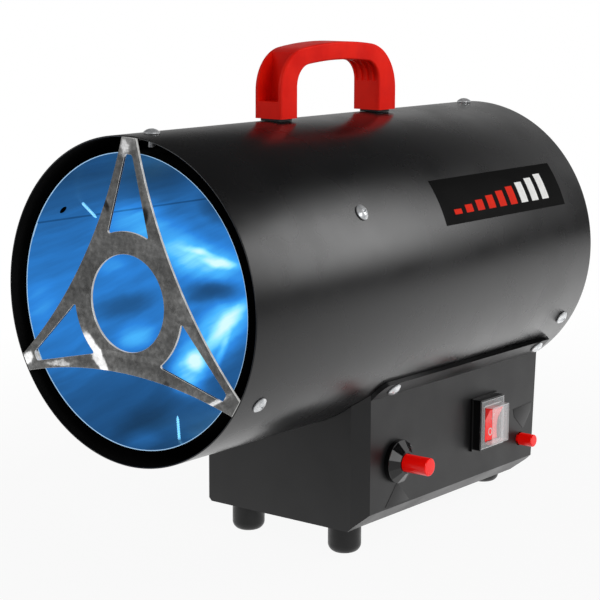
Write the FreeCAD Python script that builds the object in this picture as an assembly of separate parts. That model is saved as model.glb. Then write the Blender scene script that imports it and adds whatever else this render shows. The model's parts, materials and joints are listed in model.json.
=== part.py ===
import FreeCAD, Part
import math
import os

# A portable gas heater: a sheet steel tube with a combustion liner inside, a fan and burner,
# and a moulded base below with the ignition button, rocker switch and gas valve on one side.
# Millimetres. While it is built the tube's axis is Y, its front rim is at Y = 0, the outlet
# faces -Y and the controls are on the +X side. The last step sets it on its feet.

V = FreeCAD.Vector

# Tube
tube_radius = 92.0
tube_length = 347.0
shell_wall = 0.8
seat_gap = 0.2          # between a curved seat and what sits on it
hole_clearance = 0.15   # round a screw shank
shell_window_half = 15.0    # window through the shell above the base, for pipe and leads
shell_window_length = 32.0

shell_inner = tube_radius - shell_wall
cavity_radius = tube_radius + seat_gap

# Combustion liner
liner_gap = 8.4         # between the shell and the liner
liner_wall = 0.6
liner_front = 4.0
liner_rear_gap = 143.0  # from the liner's end to the rear of the shell
seam_angle = 152.5
seam_lap = 9.0
sight_hole_angle = 148.0
sight_hole_y = 22.0
sight_hole_radius = 2.4

liner_outer = shell_inner - liner_gap
liner_radius = liner_outer - liner_wall
liner_end = tube_length - liner_rear_gap

# Screws
head_radius = 4.6
head_height = 2.7
shank_radius = 2.0
nut_flats = 7.0
nut_height = 3.2
grille_turn = -1.7      # the front star sits turned a little in the rim
star_angles = [90.0 + grille_turn + 120.0 * i for i in range(3)]
liner_angles = [30.0 + 120.0 * i for i in range(3)]
guard_angles = [90.0 + 120.0 * i for i in range(3)]
grille_screw_y = 18.5
grille_shank = 7.5
guard_shank = 12.0
liner_screw_y = 107.4
tail_length = 12.0      # of a liner screw inside the liner
spacer_radius = 4.0

# Front star grille
grille_sheet = 1.5
star_end_half = 5.2
star_waist = 39.5       # centre to the middle of a side
ring_hole_radius = 27.2
window_foot_radius = 39.8
window_apex_gap = 10.0  # from a window's narrow end to the tube
window_foot_half = 15.4
window_apex_half = 2.6
window_corner = 2.0
tab_length = 27.0
tab_width = 10.0

# Moulded base
base_front = 132.0
base_half = 55.5
base_depth = 59.0       # below the tube
panel_x = 63.0
panel_front = base_front + 9.5
panel_rear = tube_length - 16.5
rear_draft = 0.055      # rear wall leans in towards the bottom
base_bottom = -tube_radius - base_depth
base_top = -50.0
panel_bottom = base_bottom + 9.7
underside_half = 53.0
front_chamfer = 2.0
rear_chamfer_y = 9.0
rear_chamfer_z = 6.0
base_wall = 2.5
flange_thickness = 2.7
flange_rise = 13.4      # height of the flange above the panel, along the tube
flange_screw_rise = 8.2
flange_round = 8.0
flange_seat = cavity_radius + flange_thickness / 2
flange_low_angle = -math.degrees(math.acos((panel_x - base_wall / 2) / flange_seat))
flange_top_angle = flange_low_angle + math.degrees(flange_rise / tube_radius)
flange_screw_angle = flange_low_angle + math.degrees(flange_screw_rise / tube_radius)
flange_screw_y = [base_front + 24.5, panel_rear - 11.0]
flange_shank = 10.0

# Feet: the front pair is taller, so the heater stands nose up
foot_radius = 10.2
foot_round = 5.5
foot_x = 38.0
front_foot_y = base_front + 18.0
rear_foot_y = panel_rear - 24.5
front_foot_height = 19.0
rear_foot_height = 7.8
foot_flat = 0.9         # how far the soles are flattened
foot_bore = 2.2
foot_counterbore = 4.3
foot_web = 4.0          # rubber left under the base round the screw
foot_floor = 3.2        # least depth of the counterbore
foot_head_radius = 3.8
foot_head_height = 2.2

# Handle, heights above the tube
handle_half = 10.1
handle_front = 122.2
handle_rear = 238.0
leg_width = 15.7        # front leg, along the tube
rear_leg_width = 18.0
crown_rise = 45.2       # top of the handle at its middle
crown_drop = 6.6        # from there down to the legs' faces
grip_rise = 34.4        # underside of the grip
grip_drop = 3.2         # how far its arch falls to the legs
shoulder_radius = 25.0
rear_shoulder_radius = 29.0
grip_corner = 13.0
groove_count = 4        # finger grooves along the underside of the grip
groove_width = 3.0
groove_pitch = 4.5
groove_depth = 1.1
groove_end = 18.0       # they run down the legs to this height
pad_height = 1.5
pad_half = 7.0
pad_length = 12.0
pocket_rise = 11.6      # floor of the pocket in a leg
cheek = 2.3
pocket_back = 2.3       # wall between a pocket and the grip's opening
pocket_sink = 3.4       # the screw head lies this deep in the pocket's floor
handle_head_radius = 4.0
handle_head_height = 2.4
handle_edge = 1.2       # rounding of the long edges
handle_shank = 15.0

# Ignition button and its piezo body
ignition_y = base_front + 36.8
ignition_z = base_bottom + 38.0
nut_radius = 13.3
nut_rim = 3.3
nut_cone = 4.4
nut_sides = 12
nut_lip = 1.6           # flat ring left round the button
ignition_button_radius = 5.5
ignition_button_length = 36.0
button_end_x = panel_x + 24.4
ignition_travel = 7.0
ignition_spring_shut = 17.8
slide_clearance = 0.3
igniter_radius = 9.0
igniter_floor = 14.0
terminal_length = 6.0
igniter_bore_end = button_end_x - ignition_button_length - ignition_travel - ignition_spring_shut
igniter_end_x = igniter_bore_end - igniter_floor

# Rocker switch under its clear splash cap
switch_y = panel_rear - 65.5
switch_z = base_bottom + 44.6
bezel_width = 28.4
bezel_height = 33.0
bezel_skirt = 1.6
bezel_depth = 7.0
bezel_frame = 4.0       # above and below the rocker
bezel_side = 5.9        # beside the rocker
bezel_corner = 1.5
switch_body_width = 22.0
switch_body_height = 27.0
switch_body_depth = 24.0
switch_well = 12.0      # how deep the rocker's well goes behind the panel
terminal_gap = 9.0
terminal_reach = 9.0
rocker_clearance = 0.3
rocker_sweep = 0.6      # room between the rocker's ends and the cap as it tips
rocker_dip = 2.2
rocker_pivot_depth = 4.5
rocker_swing = 22.0
pivot_radius = 1.25
pivot_clearance = 0.05
pivot_reach = 1.4
cap_width = 19.4
cap_offset = -0.4
cap_height = 24.4
cap_depth = 6.8
cap_wall = 0.7
cap_lip = 0.6
rocker_half = cap_height / 2 - cap_wall - rocker_sweep
pivot_x = panel_x + bezel_depth - rocker_pivot_depth

# Gas valve with its push button
gas_y = panel_rear - 20.0
gas_z = base_bottom + 24.0
gas_button_radius = 4.1
gas_button_length = 10.2
gas_stem_radius = 2.0
gas_stem_show = 1.0
gas_travel = 5.0
gas_spring_shut = 5.0
gas_collar = 2.0
gas_tail = 8.0          # stem behind its collar
valve_radius = 10.0
valve_nose_radius = 7.0
valve_front_x = panel_x - 11.0
valve_end_x = 6.0
valve_block = 9.0       # half the block round the port
valve_port_x = 22.0
outlet_reach = 17.0
gas_hole_radius = 4.6
gas_bore_end = valve_front_x - gas_collar - gas_travel - gas_spring_shut

# Rear wall fittings
inlet_radius = 8.3
inlet_neck = 7.0        # radius of its shank through the rear wall
inlet_stand = 2.0       # from the wall to the thread
inlet_thread = 12.0
inlet_chamfer = 1.0
inlet_bore = 3.2
gland_x = -25.0
gland_z = base_bottom + 29.0
gland_bore = 3.8
gland_radius = 7.0
gland_flange = 10.0
gland_length = 10.0
gland_flats = 20.0

# Fan and motor, measured from the rear guard
guard_y = tube_length - 6.5
guard_screw_y = tube_length - 15.0
guard_wire = 2.0
guard_rings = 6
guard_inner_ring = 36.0
guard_edge_gap = 4.2    # outer ring to the shell
guard_plate_radius = 27.0
guard_arm_half = 4.0
guard_tab_length = 16.0
guard_centre_hole = 8.0
stator_y = guard_y - 31.5
stator_depth = 18.0
stator_half = 25.0
stator_top = 24.0
stator_bottom = -40.0
stator_leg = 12.0       # core under the two eyes, inside the coil
eye_half = 14.0
eye_top = -18.0
coil_wall = 6.0
coil_reach = 7.0        # past the core's faces
coil_corner = 3.0
coil_clearance = 0.3
air_gap = 0.5
bracket_sheet = 3.0
bracket_stand = 5.0     # from the core to a bracket
bracket_half = 7.0
bracket_boss = 9.0
bracket_leg = 4.0
bearing_radius = 6.0
bearing_clearance = 0.03
press_gap = 0.02        # bores pressed on the shaft
motor_bolt_x = 19.0
motor_bolt_radius = 1.75
motor_head_radius = 3.2
motor_head_height = 2.0
motor_nut_flats = 6.0
motor_nut_height = 3.0
spacer_outer = 3.5
shaft_radius = 3.0
rotor_radius = 12.5
fan_reach = 47.0        # from the core to the front of the fan
fan_y = stator_y - fan_reach
hub_radius = 14.0
hub_length = 17.0
hub_nose = 3.0
blade_count = 5
blade_gap = 9.2         # tip to shell
blade_root = 2.5        # how far a blade goes into the hub
blade_thickness = 1.4
blade_shapes = [(17.0, 38.0, 1.5), (38.0, 27.0, 3.5), (52.0, 19.0, 4.5)]    # chord, pitch, camber

# Burner and gas train
plate_y = liner_end - 8.0
plate_sheet = 0.8
plate_rim = 9.0
plate_slots = 12
slot_inner = 44.0
slot_edge = 10.2        # from a slot to the liner
slot_width = 5.0
mixer_radius = 11.0
mixer_wall = 1.0
mixer_nose = 8.0        # in front of the plate
air_hole_radius = 3.0
cup_foot = 8.0
cup_front_radius = 34.0
cup_length = 26.0
cup_sheet = 1.0
cup_holes = 12
cup_hole_radius = 2.5
jet_gap = 22.0          # from the jet to the fan
jet_y = fan_y - jet_gap
jet_nose = 14.0
jet_nose_radius = 5.0
jet_block_half = 7.0
mixer_end_y = jet_y - jet_nose
pipe_radius = 3.0
pipe_bend = 14.0
pipe_nut_flats = 13.0
pipe_nut_height = 8.0
probe_x = 38.0          # electrode on one side, thermocouple on the other
insulator_radius = 3.0
electrode_radius = 1.0
thermocouple_radius = 2.5
ignition_lead_radius = 1.4
thermocouple_lead_radius = 1.0


def radial(angle):
    a = math.radians(angle)
    return V(math.cos(a), 0, math.sin(a))


def box(x0, x1, y0, y1, z0, z1):
    return Part.makeBox(x1 - x0, y1 - y0, z1 - z0, V(x0, y0, z0))


def rod(radius, start, end):
    return Part.makeCylinder(radius, (end - start).Length, start, end - start)


def along_y(radius, y0, y1, x=0.0, z=0.0):
    return rod(radius, V(x, y0, z), V(x, y1, z))


def along_x(radius, x0, x1, y, z):
    return rod(radius, V(x0, y, z), V(x1, y, z))


def sleeve_y(outer, inner, y0, y1):
    return along_y(outer, y0, y1).cut(along_y(inner, y0 - 1, y1 + 1))


def prism(points, direction):
    """A prism with a straight-sided outline."""
    return Part.Face(Part.makePolygon(points + [points[0]])).extrude(direction)


def regular_polygon(centre, across_u, across_v, radius, sides, turn=0.0):
    points = []
    for i in range(sides):
        a = math.radians(turn + 360.0 * i / sides)
        points.append(centre + across_u * (radius * math.cos(a)) + across_v * (radius * math.sin(a)))
    return Part.makePolygon(points + [points[0]])


def hex_nut(centre, axis, across_u, across_v, flats, height, bore):
    corner = flats / 2.0 / math.cos(math.radians(30))
    wire = regular_polygon(centre, across_u, across_v, corner, 6)
    nut = Part.Face(wire).extrude(axis * height)
    return nut.cut(Part.makeCylinder(bore, height + 2, centre - axis, axis))


def turn_about(outline, centre, axis):
    """A solid turned from a closed outline of (radius, height) points and arcs."""
    frame = FreeCAD.Placement(centre, FreeCAD.Rotation(V(0, 0, 1), axis))
    face = Part.Face(outline)
    solid = face.revolve(V(0, 0, 0), V(0, 0, 1), 360)
    if solid.Volume < 0:
        solid = face.revolve(V(0, 0, 0), V(0, 0, -1), 360)
    solid.transformShape(frame.toMatrix())
    return solid


def pan_screw(seat, outward, shank, head=head_radius, height=head_height, radius=shank_radius):
    """Domed head above the seat and shank below it, in one turned outline."""
    rim = 0.3 * height
    rise = height - rim
    dome = (head ** 2 + rise ** 2) / (2 * rise)
    half = math.asin(head / dome) / 2
    a, b, c = V(0, 0, -shank), V(radius, 0, -shank), V(radius, 0, 0)
    d, e, top = V(head, 0, 0), V(head, 0, rim), V(0, 0, height)
    crown = V(dome * math.sin(half), 0, height - dome + dome * math.cos(half))
    edges = [Part.LineSegment(p, q).toShape() for p, q in ((a, b), (b, c), (c, d), (d, e))]
    edges.append(Part.Arc(e, crown, top).toShape())
    edges.append(Part.LineSegment(top, a).toShape())
    return turn_about(Part.Wire(edges), seat, outward)


def shell_screws(angles, y, shank):
    seat = tube_radius + seat_gap / 2
    return [pan_screw(radial(a) * seat + V(0, y, 0), radial(a), shank) for a in angles]


def drill(shape, angles, ys, surface, radius=shank_radius + hole_clearance):
    """Holes square through a round wall, at each angle and each place along the tube."""
    for a in angles:
        for y in ys:
            r, along = radial(a), V(0, y, 0)
            shape = shape.cut(rod(radius, r * (surface - 10) + along, r * (surface + 10) + along))
    return shape


def round_path(points, largest=None):
    """Straight runs joined by tangent arcs as large as the runs allow."""
    edges = []
    start = points[0]
    for i in range(1, len(points) - 1):
        back = points[i - 1] - points[i]
        ahead = points[i + 1] - points[i]
        half_turn = (math.pi - back.getAngle(ahead)) / 2
        reach = 0.45 * min(back.Length, ahead.Length)
        if largest:
            reach = min(reach, largest * math.tan(half_turn))
        back.normalize()
        ahead.normalize()
        p, q = points[i] + back * reach, points[i] + ahead * reach
        centre_way = (back + ahead).normalize()
        radius = reach / math.tan(half_turn)
        centre = points[i] + centre_way * (radius / math.cos(half_turn))
        middle = centre - centre_way * radius
        edges.append(Part.LineSegment(start, p).toShape())
        edges.append(Part.Arc(p, middle, q).toShape())
        start = q
    edges.append(Part.LineSegment(start, points[-1]).toShape())
    return Part.Wire(edges)


def tube_along(points, radius, largest=None):
    path = round_path(points, largest)
    way = points[1] - points[0]
    section = Part.Wire(Part.makeCircle(radius, points[0], way))
    return path.makePipeShell([section], True, False)


def group(solids):
    return Part.makeCompound(solids)


# Outer shell: rolled sheet tube, open at both ends, with a window above the base
def outer_shell():
    tube = sleeve_y(tube_radius, shell_inner, 0, tube_length)
    tube = drill(tube, star_angles, [grille_screw_y], tube_radius)
    tube = drill(tube, liner_angles, [liner_screw_y], tube_radius)
    tube = drill(tube, guard_angles, [guard_screw_y], tube_radius)
    tube = drill(tube, flange_sides(), flange_screw_y, tube_radius)
    tube = drill(tube, [90], handle_screw_ys(), tube_radius)
    y0 = jet_y - 12
    window = box(-shell_window_half, shell_window_half, y0, y0 + shell_window_length,
                 -tube_radius - 5, -tube_radius + 15)
    return tube.cut(window)


# Liner: a second rolled tube with a lapped seam, a sight hole and a plain front edge
def combustion_liner():
    liner = sleeve_y(liner_outer, liner_radius, liner_front, liner_end)
    lap = sleeve_y(liner_radius + 0.1, liner_radius - liner_wall, liner_front, liner_end)
    lap_angle = math.degrees(seam_lap / liner_radius)
    a, b = radial(seam_angle) * tube_radius * 1.2, radial(seam_angle + lap_angle) * tube_radius * 1.2
    wedge = prism([V(0, 0, 0), a, b], V(0, tube_length, 0))
    liner = liner.fuse(lap.common(wedge)).removeSplitter()
    liner = drill(liner, liner_angles, [liner_screw_y], liner_radius)
    return drill(liner, [sight_hole_angle], [sight_hole_y], liner_radius, sight_hole_radius)


def liner_spacers():
    out = []
    for a in liner_angles:
        low = radial(a) * (liner_outer + seat_gap / 2) + V(0, liner_screw_y, 0)
        high = radial(a) * (shell_inner - seat_gap) + V(0, liner_screw_y, 0)
        out.append(rod(spacer_radius, low, high).cut(rod(shank_radius + hole_clearance, low, high)))
    return group(out)


# Front star: flat sheet with concave sides, a ring hole, three windows and bent tabs
def star_point(angle, radius, offset):
    r = radial(angle)
    side = V(-r.z, 0, r.x)
    return r * radius + side * offset


def front_grille():
    reach = shell_inner - seat_gap
    edges = []
    for a in star_angles:
        p = star_point(a, reach, -star_end_half)
        q = star_point(a, reach, star_end_half)
        r = star_point(a + 120, reach, -star_end_half)
        edges.append(Part.LineSegment(p, q).toShape())
        edges.append(Part.Arc(q, radial(a + 60) * star_waist, r).toShape())
    thick = V(0, grille_sheet, 0)
    star = Part.Face(Part.Wire(edges)).extrude(thick)
    star = star.cut(along_y(ring_hole_radius, -1, grille_sheet + 1))
    for a in star_angles:
        star = star.cut(star_window(a, thick))
    for a in star_angles:
        low = star_point(a, reach - grille_sheet, -tab_width / 2)
        r = radial(a)
        side = V(-r.z, 0, r.x)
        tab = prism([low, low + side * tab_width, low + side * tab_width + r * grille_sheet,
                     low + r * grille_sheet], V(0, tab_length, 0))
        star = star.fuse(tab)
    star = star.removeSplitter()
    return drill(star, star_angles, [grille_screw_y], tube_radius)


def star_window(angle, thick):
    foot = math.sqrt(window_foot_radius ** 2 - window_foot_half ** 2)
    a = star_point(angle, foot, -window_foot_half)
    b = star_point(angle, foot, window_foot_half)
    apex = tube_radius - window_apex_gap
    c = star_point(angle, apex, window_apex_half)
    d = star_point(angle, apex, -window_apex_half)
    edges = [Part.Arc(a, radial(angle) * window_foot_radius, b).toShape()]
    edges += [Part.LineSegment(p, q).toShape() for p, q in ((b, c), (c, d), (d, a))]
    prism_ = Part.Face(Part.Wire(edges)).extrude(thick * 3)
    prism_.translate(thick * -1)
    upright = [e for e in prism_.Edges if e.Length > 2.9 * grille_sheet and is_along_y(e)]
    return prism_.makeFillet(window_corner, upright)


def is_along_y(edge):
    a, b = edge.Vertexes[0].Point, edge.Vertexes[-1].Point
    return abs(a.x - b.x) < 1e-6 and abs(a.z - b.z) < 1e-6


# Moulded base: a tub that flares at its front corners to the two flat side panels
def base_section(y, half, low_z, under, bottom, lean=0.0):
    outline = [(half, base_top), (half, low_z), (under, bottom),
               (-under, bottom), (-half, low_z), (-half, base_top)]
    points = [V(x, y - lean * (base_top - z), z) for x, z in outline]
    return Part.makePolygon(points + [points[0]])


def base_block(inset):
    front = base_section(base_front + inset, base_half - inset, base_bottom + front_chamfer + inset,
                         base_half - front_chamfer - inset, base_bottom + inset)
    corner = base_section(panel_front + inset, panel_x - inset, panel_bottom + 0.4 * inset,
                          underside_half, base_bottom + inset)
    rear = base_section(panel_rear - inset, panel_x - inset, panel_bottom + 0.4 * inset,
                        underside_half, base_bottom + inset, rear_draft)
    block = Part.makeLoft([front, corner], True, True).fuse(Part.makeLoft([corner, rear], True, True))
    end = panel_rear - inset - rear_draft * (base_top - base_bottom)
    low = base_bottom + inset
    past = 5.0
    side = panel_x + past
    wedge = prism([V(-side, end - rear_chamfer_y, low - 0.01), V(-side, end + past, low - 0.01),
                   V(-side, end + past, low + rear_chamfer_z * (1 + past / rear_chamfer_y))],
                  V(2 * side, 0, 0))
    return block.cut(wedge)


def side_flange(mirror):
    """A lip that follows the tube above a side panel, with its front corner rounded."""
    ring = sleeve_y(cavity_radius + flange_thickness, cavity_radius, base_front, panel_rear)
    middle = (flange_top_angle + flange_low_angle) / 2
    half = math.radians(flange_top_angle - flange_low_angle) / 2 * tube_radius
    r = radial(middle)
    t = V(-r.z, 0, r.x)
    y0, y1, c = panel_front, panel_rear, flange_round
    corners = [V(0, y0, 0) - t * half, V(0, y1, 0) - t * half, V(0, y1, 0) + t * half,
               V(0, y0 + c, 0) + t * half, V(0, y0, 0) + t * (half - c)]
    bend = V(0, y0 + c * (1 - math.sqrt(0.5)), 0) + t * (half - c * (1 - math.sqrt(0.5)))
    edges = [Part.LineSegment(p, q).toShape() for p, q in zip(corners[:4], corners[1:4])]
    edges.append(Part.Arc(corners[3], bend, corners[4]).toShape())
    edges.append(Part.LineSegment(corners[4], corners[0]).toShape())
    blank = Part.Face(Part.Wire(edges)).extrude(r * (tube_radius + 20))
    flange = ring.common(blank)
    return flange.mirror(V(0, 0, 0), V(1, 0, 0)) if mirror else flange


def flange_sides():
    return [flange_screw_angle, 180 - flange_screw_angle]


def rear_wall_y(z):
    """Outer face of the base's rear wall at one height."""
    return panel_rear - rear_draft * (base_top - z)


def base_tub():
    tub = base_block(0).cut(base_block(base_wall))
    tub = tub.cut(along_y(cavity_radius, 0, tube_length + 20))
    tub = tub.fuse([side_flange(False), side_flange(True)]).removeSplitter()
    tub = drill(tub, flange_sides(), flange_screw_y, cavity_radius)
    inside, outside = panel_x - 3 * base_wall, panel_x + base_wall
    tub = tub.cut(along_x(igniter_radius + hole_clearance, inside, outside, ignition_y, ignition_z))
    tub = tub.cut(along_x(gas_hole_radius, inside, outside, gas_y, gas_z))
    half_w = switch_body_width / 2 + hole_clearance
    half_h = switch_body_height / 2 + hole_clearance
    y0, z0 = switch_y - half_w, switch_z - half_h
    tub = tub.cut(box(inside, outside, y0, y0 + 2 * half_w, z0, z0 + 2 * half_h))
    y0, y1 = panel_rear - 5 * base_wall, panel_rear + base_wall
    tub = tub.cut(along_y(inlet_neck + 2 * hole_clearance, y0, y1, valve_port_x, gas_z))
    tub = tub.cut(along_y(gland_radius + hole_clearance, y0, y1, gland_x, gland_z))
    for x, y in foot_places():
        hole = rod(foot_bore + hole_clearance, V(x, y, base_bottom - 5), V(x, y, base_bottom + 10))
        tub = tub.cut(hole)
    return tub


def base_panels():
    """The tub parted into its tray and four walls, which meet face to face."""
    tub = base_tub()
    wide, tall = panel_x + 50.0, base_top + 100.0
    tray_top = panel_bottom + 1.0
    low = box(-wide, wide, base_front - 10, panel_rear + 10, base_bottom - 10, tray_top)
    front_end = panel_front + 2 * base_wall
    ahead = box(-wide, wide, base_front - 10, front_end, tray_top, tall)
    lean = [V(-wide, rear_wall_y(z) - 2 * base_wall, z) for z in (tray_top, tall)]
    behind = prism(lean + [V(-wide, panel_rear + 50, tall), V(-wide, panel_rear + 50, tray_top)], V(2 * wide, 0, 0))
    walls = tub.cut(low)
    sides = walls.cut(ahead).cut(behind)
    return {
        "base_tray": tub.common(low),
        "base_front": walls.common(ahead),
        "base_rear": walls.common(behind),
        "base_left": sides.common(box(-wide, 0, base_front, panel_rear, tray_top, tall)),
        "base_right": sides.common(box(0, wide, base_front, panel_rear, tray_top, tall)),
    }


def base_screws():
    out = []
    for a in flange_sides():
        for y in flange_screw_y:
            seat = radial(a) * (cavity_radius + flange_thickness + seat_gap / 2) + V(0, y, 0)
            out.append(pan_screw(seat, radial(a), flange_shank))
    return group(out)


# Feet
def foot_places():
    return [(x, y) for y in (front_foot_y, rear_foot_y) for x in (-foot_x, foot_x)]


def foot(x, y, height):
    """Rubber foot with a rounded bottom and a counterbore for its screw."""
    r, c = foot_radius, min(foot_round, height - 1.0)
    web = min(foot_web, height - foot_floor)
    p = [V(foot_bore, 0, 0), V(r, 0, 0), V(r, 0, height - c), V(r - c, 0, height),
         V(foot_counterbore, 0, height), V(foot_counterbore, 0, web), V(foot_bore, 0, web)]
    bend = V(r - c * (1 - math.sqrt(0.5)), 0, height - c * (1 - math.sqrt(0.5)))
    edges = [Part.LineSegment(p[0], p[1]).toShape(), Part.LineSegment(p[1], p[2]).toShape(),
             Part.Arc(p[2], bend, p[3]).toShape()]
    edges += [Part.LineSegment(a, b).toShape() for a, b in zip(p[3:], p[4:] + p[:1])]
    return turn_about(Part.Wire(edges), V(x, y, base_bottom), V(0, 0, -1))


def feet(y, height):
    return [foot(x, y, height) for x in (-foot_x, foot_x)]


def foot_screws():
    out = []
    for x, y in foot_places():
        height = front_foot_height if y == front_foot_y else rear_foot_height
        web = min(foot_web, height - foot_floor)
        seat = V(x, y, base_bottom - web)
        out.append(pan_screw(seat, V(0, 0, -1), web + base_wall + 5.0, foot_head_radius,
                             foot_head_height, foot_bore - hole_clearance))
    return group(out)


def foot_nuts():
    return group([hex_nut(V(x, y, base_bottom + base_wall), V(0, 0, 1), V(1, 0, 0), V(0, 1, 0),
                          nut_flats, nut_height, foot_bore - 0.1) for x, y in foot_places()])


# Handle: moulded bridge with open pockets in the outer faces of its legs
def handle_screw_ys():
    return [handle_front + leg_width / 2, handle_rear - rear_leg_width / 2]


def arch_face(x, y0, y1, foot_z, crown_z, drop):
    """A face under one arched line, with straight legs down to foot_z."""
    mid = (y0 + y1) / 2
    arch = Part.Arc(V(x, y0, crown_z - drop), V(x, mid, crown_z), V(x, y1, crown_z - drop)).toShape()
    legs = [(V(x, y1, crown_z - drop), V(x, y1, foot_z)), (V(x, y1, foot_z), V(x, y0, foot_z)),
            (V(x, y0, foot_z), V(x, y0, crown_z - drop))]
    return Part.Face(Part.Wire([arch] + [Part.LineSegment(p, q).toShape() for p, q in legs]))


def cross_edge(solid, y, z):
    """The edge across the handle at one place of its outline."""
    return [e for e in solid.Edges if abs(e.BoundBox.YMin - y) < 1e-3 and abs(e.BoundBox.YMax - y) < 1e-3
            and abs(e.BoundBox.ZMin - z) < 1e-3 and abs(e.BoundBox.ZMax - z) < 1e-3]


def handle_bridge():
    foot_z = tube_radius + pad_height
    crown_z = tube_radius + crown_rise
    width = V(2 * handle_half, 0, 0)
    outer = arch_face(-handle_half, handle_front, handle_rear, foot_z, crown_z, crown_drop).extrude(width)
    outer = outer.makeFillet(shoulder_radius, cross_edge(outer, handle_front, crown_z - crown_drop))
    outer = outer.makeFillet(rear_shoulder_radius, cross_edge(outer, handle_rear, crown_z - crown_drop))
    return outer.cut(grip_opening(0, -handle_half, 2 * handle_half))


def grip_opening(deeper, x0, width):
    """The space under the grip, or a slice of it that reaches deeper into the handle."""
    y0 = handle_front + leg_width - deeper
    y1 = handle_rear - rear_leg_width + deeper
    low_z, grip_z = tube_radius + pad_height - 5, tube_radius + grip_rise + deeper
    space = arch_face(x0, y0, y1, low_z, grip_z, grip_drop).extrude(V(width, 0, 0))
    corners = cross_edge(space, y0, grip_z - grip_drop) + cross_edge(space, y1, grip_z - grip_drop)
    return space.makeFillet(grip_corner + deeper, corners)


def grip_grooves():
    grooves = []
    above = box(-handle_half, handle_half, handle_front, handle_rear,
                tube_radius + pad_height + groove_end, tube_radius + crown_rise)
    for i in range(groove_count):
        x0 = (i - (groove_count - 1) / 2) * groove_pitch - groove_width / 2
        grooves.append(grip_opening(groove_depth, x0, groove_width).common(above))
    return grooves


def is_along_x(edge):
    a, b = edge.Vertexes[0].Point, edge.Vertexes[-1].Point
    return abs(a.y - b.y) < 1e-6 and abs(a.z - b.z) < 1e-6


def handle_pocket(front):
    """The hollow between the cheeks of one leg, open on its outer face up to the crown."""
    half = handle_half - cheek
    past = 5.0
    if front:
        y0, y1 = handle_front - past, handle_front + leg_width - pocket_back
    else:
        y0, y1 = handle_rear - rear_leg_width + pocket_back, handle_rear + past
    return box(-half, half, y0, y1, tube_radius + pocket_rise, tube_radius + crown_rise + past)


def handle():
    body = handle_bridge()
    foot_z = tube_radius + pad_height
    long_edges = [e for e in body.Edges if not is_along_x(e) and e.BoundBox.ZMax > foot_z + 1]
    body = body.makeFillet(handle_edge, long_edges)
    body = body.cut([handle_pocket(True), handle_pocket(False)] + grip_grooves())
    for y in handle_screw_ys():
        floor = V(0, y, tube_radius + pocket_rise)
        seat = floor - V(0, 0, pocket_sink)
        sink = rod(handle_head_radius + hole_clearance, seat, floor + V(0, 0, 1))
        body = body.cut([rod(shank_radius + hole_clearance, V(0, y, foot_z - 5), floor), sink])
    return body


def handle_pads():
    """Thin black pads between the legs and the tube."""
    out = []
    for y in handle_screw_ys():
        pad = box(-pad_half, pad_half, y - pad_length / 2, y + pad_length / 2,
                  tube_radius - 2, tube_radius + pad_height)
        pad = pad.cut(along_y(cavity_radius, y - 10, y + 10))
        hole = rod(shank_radius + hole_clearance, V(0, y, tube_radius - 10), V(0, y, tube_radius + 10))
        out.append(pad.cut(hole))
    return group(out)


def handle_screws():
    z = tube_radius + pocket_rise - pocket_sink
    return group([pan_screw(V(0, y, z), V(0, 0, 1), handle_shank, handle_head_radius, handle_head_height)
                  for y in handle_screw_ys()])


def handle_nuts():
    z = shell_inner - seat_gap - nut_height
    return group([hex_nut(V(0, y, z), V(0, 0, 1), V(1, 0, 0), V(0, 1, 0),
                          nut_flats, nut_height, shank_radius + 0.05) for y in handle_screw_ys()])


# Ignition: piezo body behind the panel, faceted nut in front, button sliding through both
def igniter_nut():
    x0 = panel_x
    rim = along_x(nut_radius, x0, x0 + nut_rim, ignition_y, ignition_z)
    wide = regular_polygon(V(x0 + nut_rim, ignition_y, ignition_z), V(0, 1, 0), V(0, 0, 1),
                           nut_radius, nut_sides, 15)
    slim = regular_polygon(V(x0 + nut_rim + nut_cone, ignition_y, ignition_z), V(0, 1, 0), V(0, 0, 1),
                           ignition_button_radius + nut_lip, nut_sides, 15)
    nut = rim.fuse(Part.makeLoft([wide, slim], True, True)).removeSplitter()
    inner = along_x(igniter_radius + 0.1, x0 - 1, x0 + nut_rim, ignition_y, ignition_z)
    bore = along_x(ignition_button_radius + slide_clearance, x0 - 1, x0 + 20, ignition_y, ignition_z)
    return nut.cut([inner, bore])


def igniter_body():
    x1 = panel_x + nut_rim - 0.1
    body = along_x(igniter_radius, igniter_end_x, x1, ignition_y, ignition_z)
    wall_x = panel_x - base_wall
    collar = along_x(igniter_radius + 3, wall_x - 2.5, wall_x, ignition_y, ignition_z)
    terminal = along_x(1.6, igniter_end_x - terminal_length, igniter_end_x + 1, ignition_y, ignition_z)
    body = body.fuse([collar, terminal])
    bore = along_x(ignition_button_radius + slide_clearance, igniter_bore_end, x1 + 1,
                   ignition_y, ignition_z)
    return body.cut(bore)


def ignition_button():
    stem_end = button_end_x - ignition_button_length
    button = along_x(ignition_button_radius, stem_end, button_end_x, ignition_y, ignition_z)
    edge = [e for e in button.Edges if abs(e.BoundBox.XMin - button_end_x) < 1e-3
            and abs(e.BoundBox.XMax - button_end_x) < 1e-3]
    return button.makeFillet(0.7, edge)


def biarc(start, start_way, end, end_way):
    """Two arcs that meet smoothly and leave both ends along the given unit ways."""
    span = end - start
    lean = span.dot(start_way + end_way)
    turn = 2 * (1 - start_way.dot(end_way))
    reach = (-lean + math.sqrt(lean ** 2 + turn * span.dot(span))) / turn
    first, second = start + start_way * reach, end - end_way * reach
    join = (first + second) * 0.5
    arcs = []
    for p, corner, q in ((start, first, join), (join, second, end)):
        middle = (p + q) * 0.5
        angle = (corner - p).getAngle(q - p)
        crown = middle + (corner - middle) * (math.tan(angle / 2) / math.tan(angle))
        arcs.append(Part.Arc(p, crown, q).toShape())
    return arcs


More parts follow.
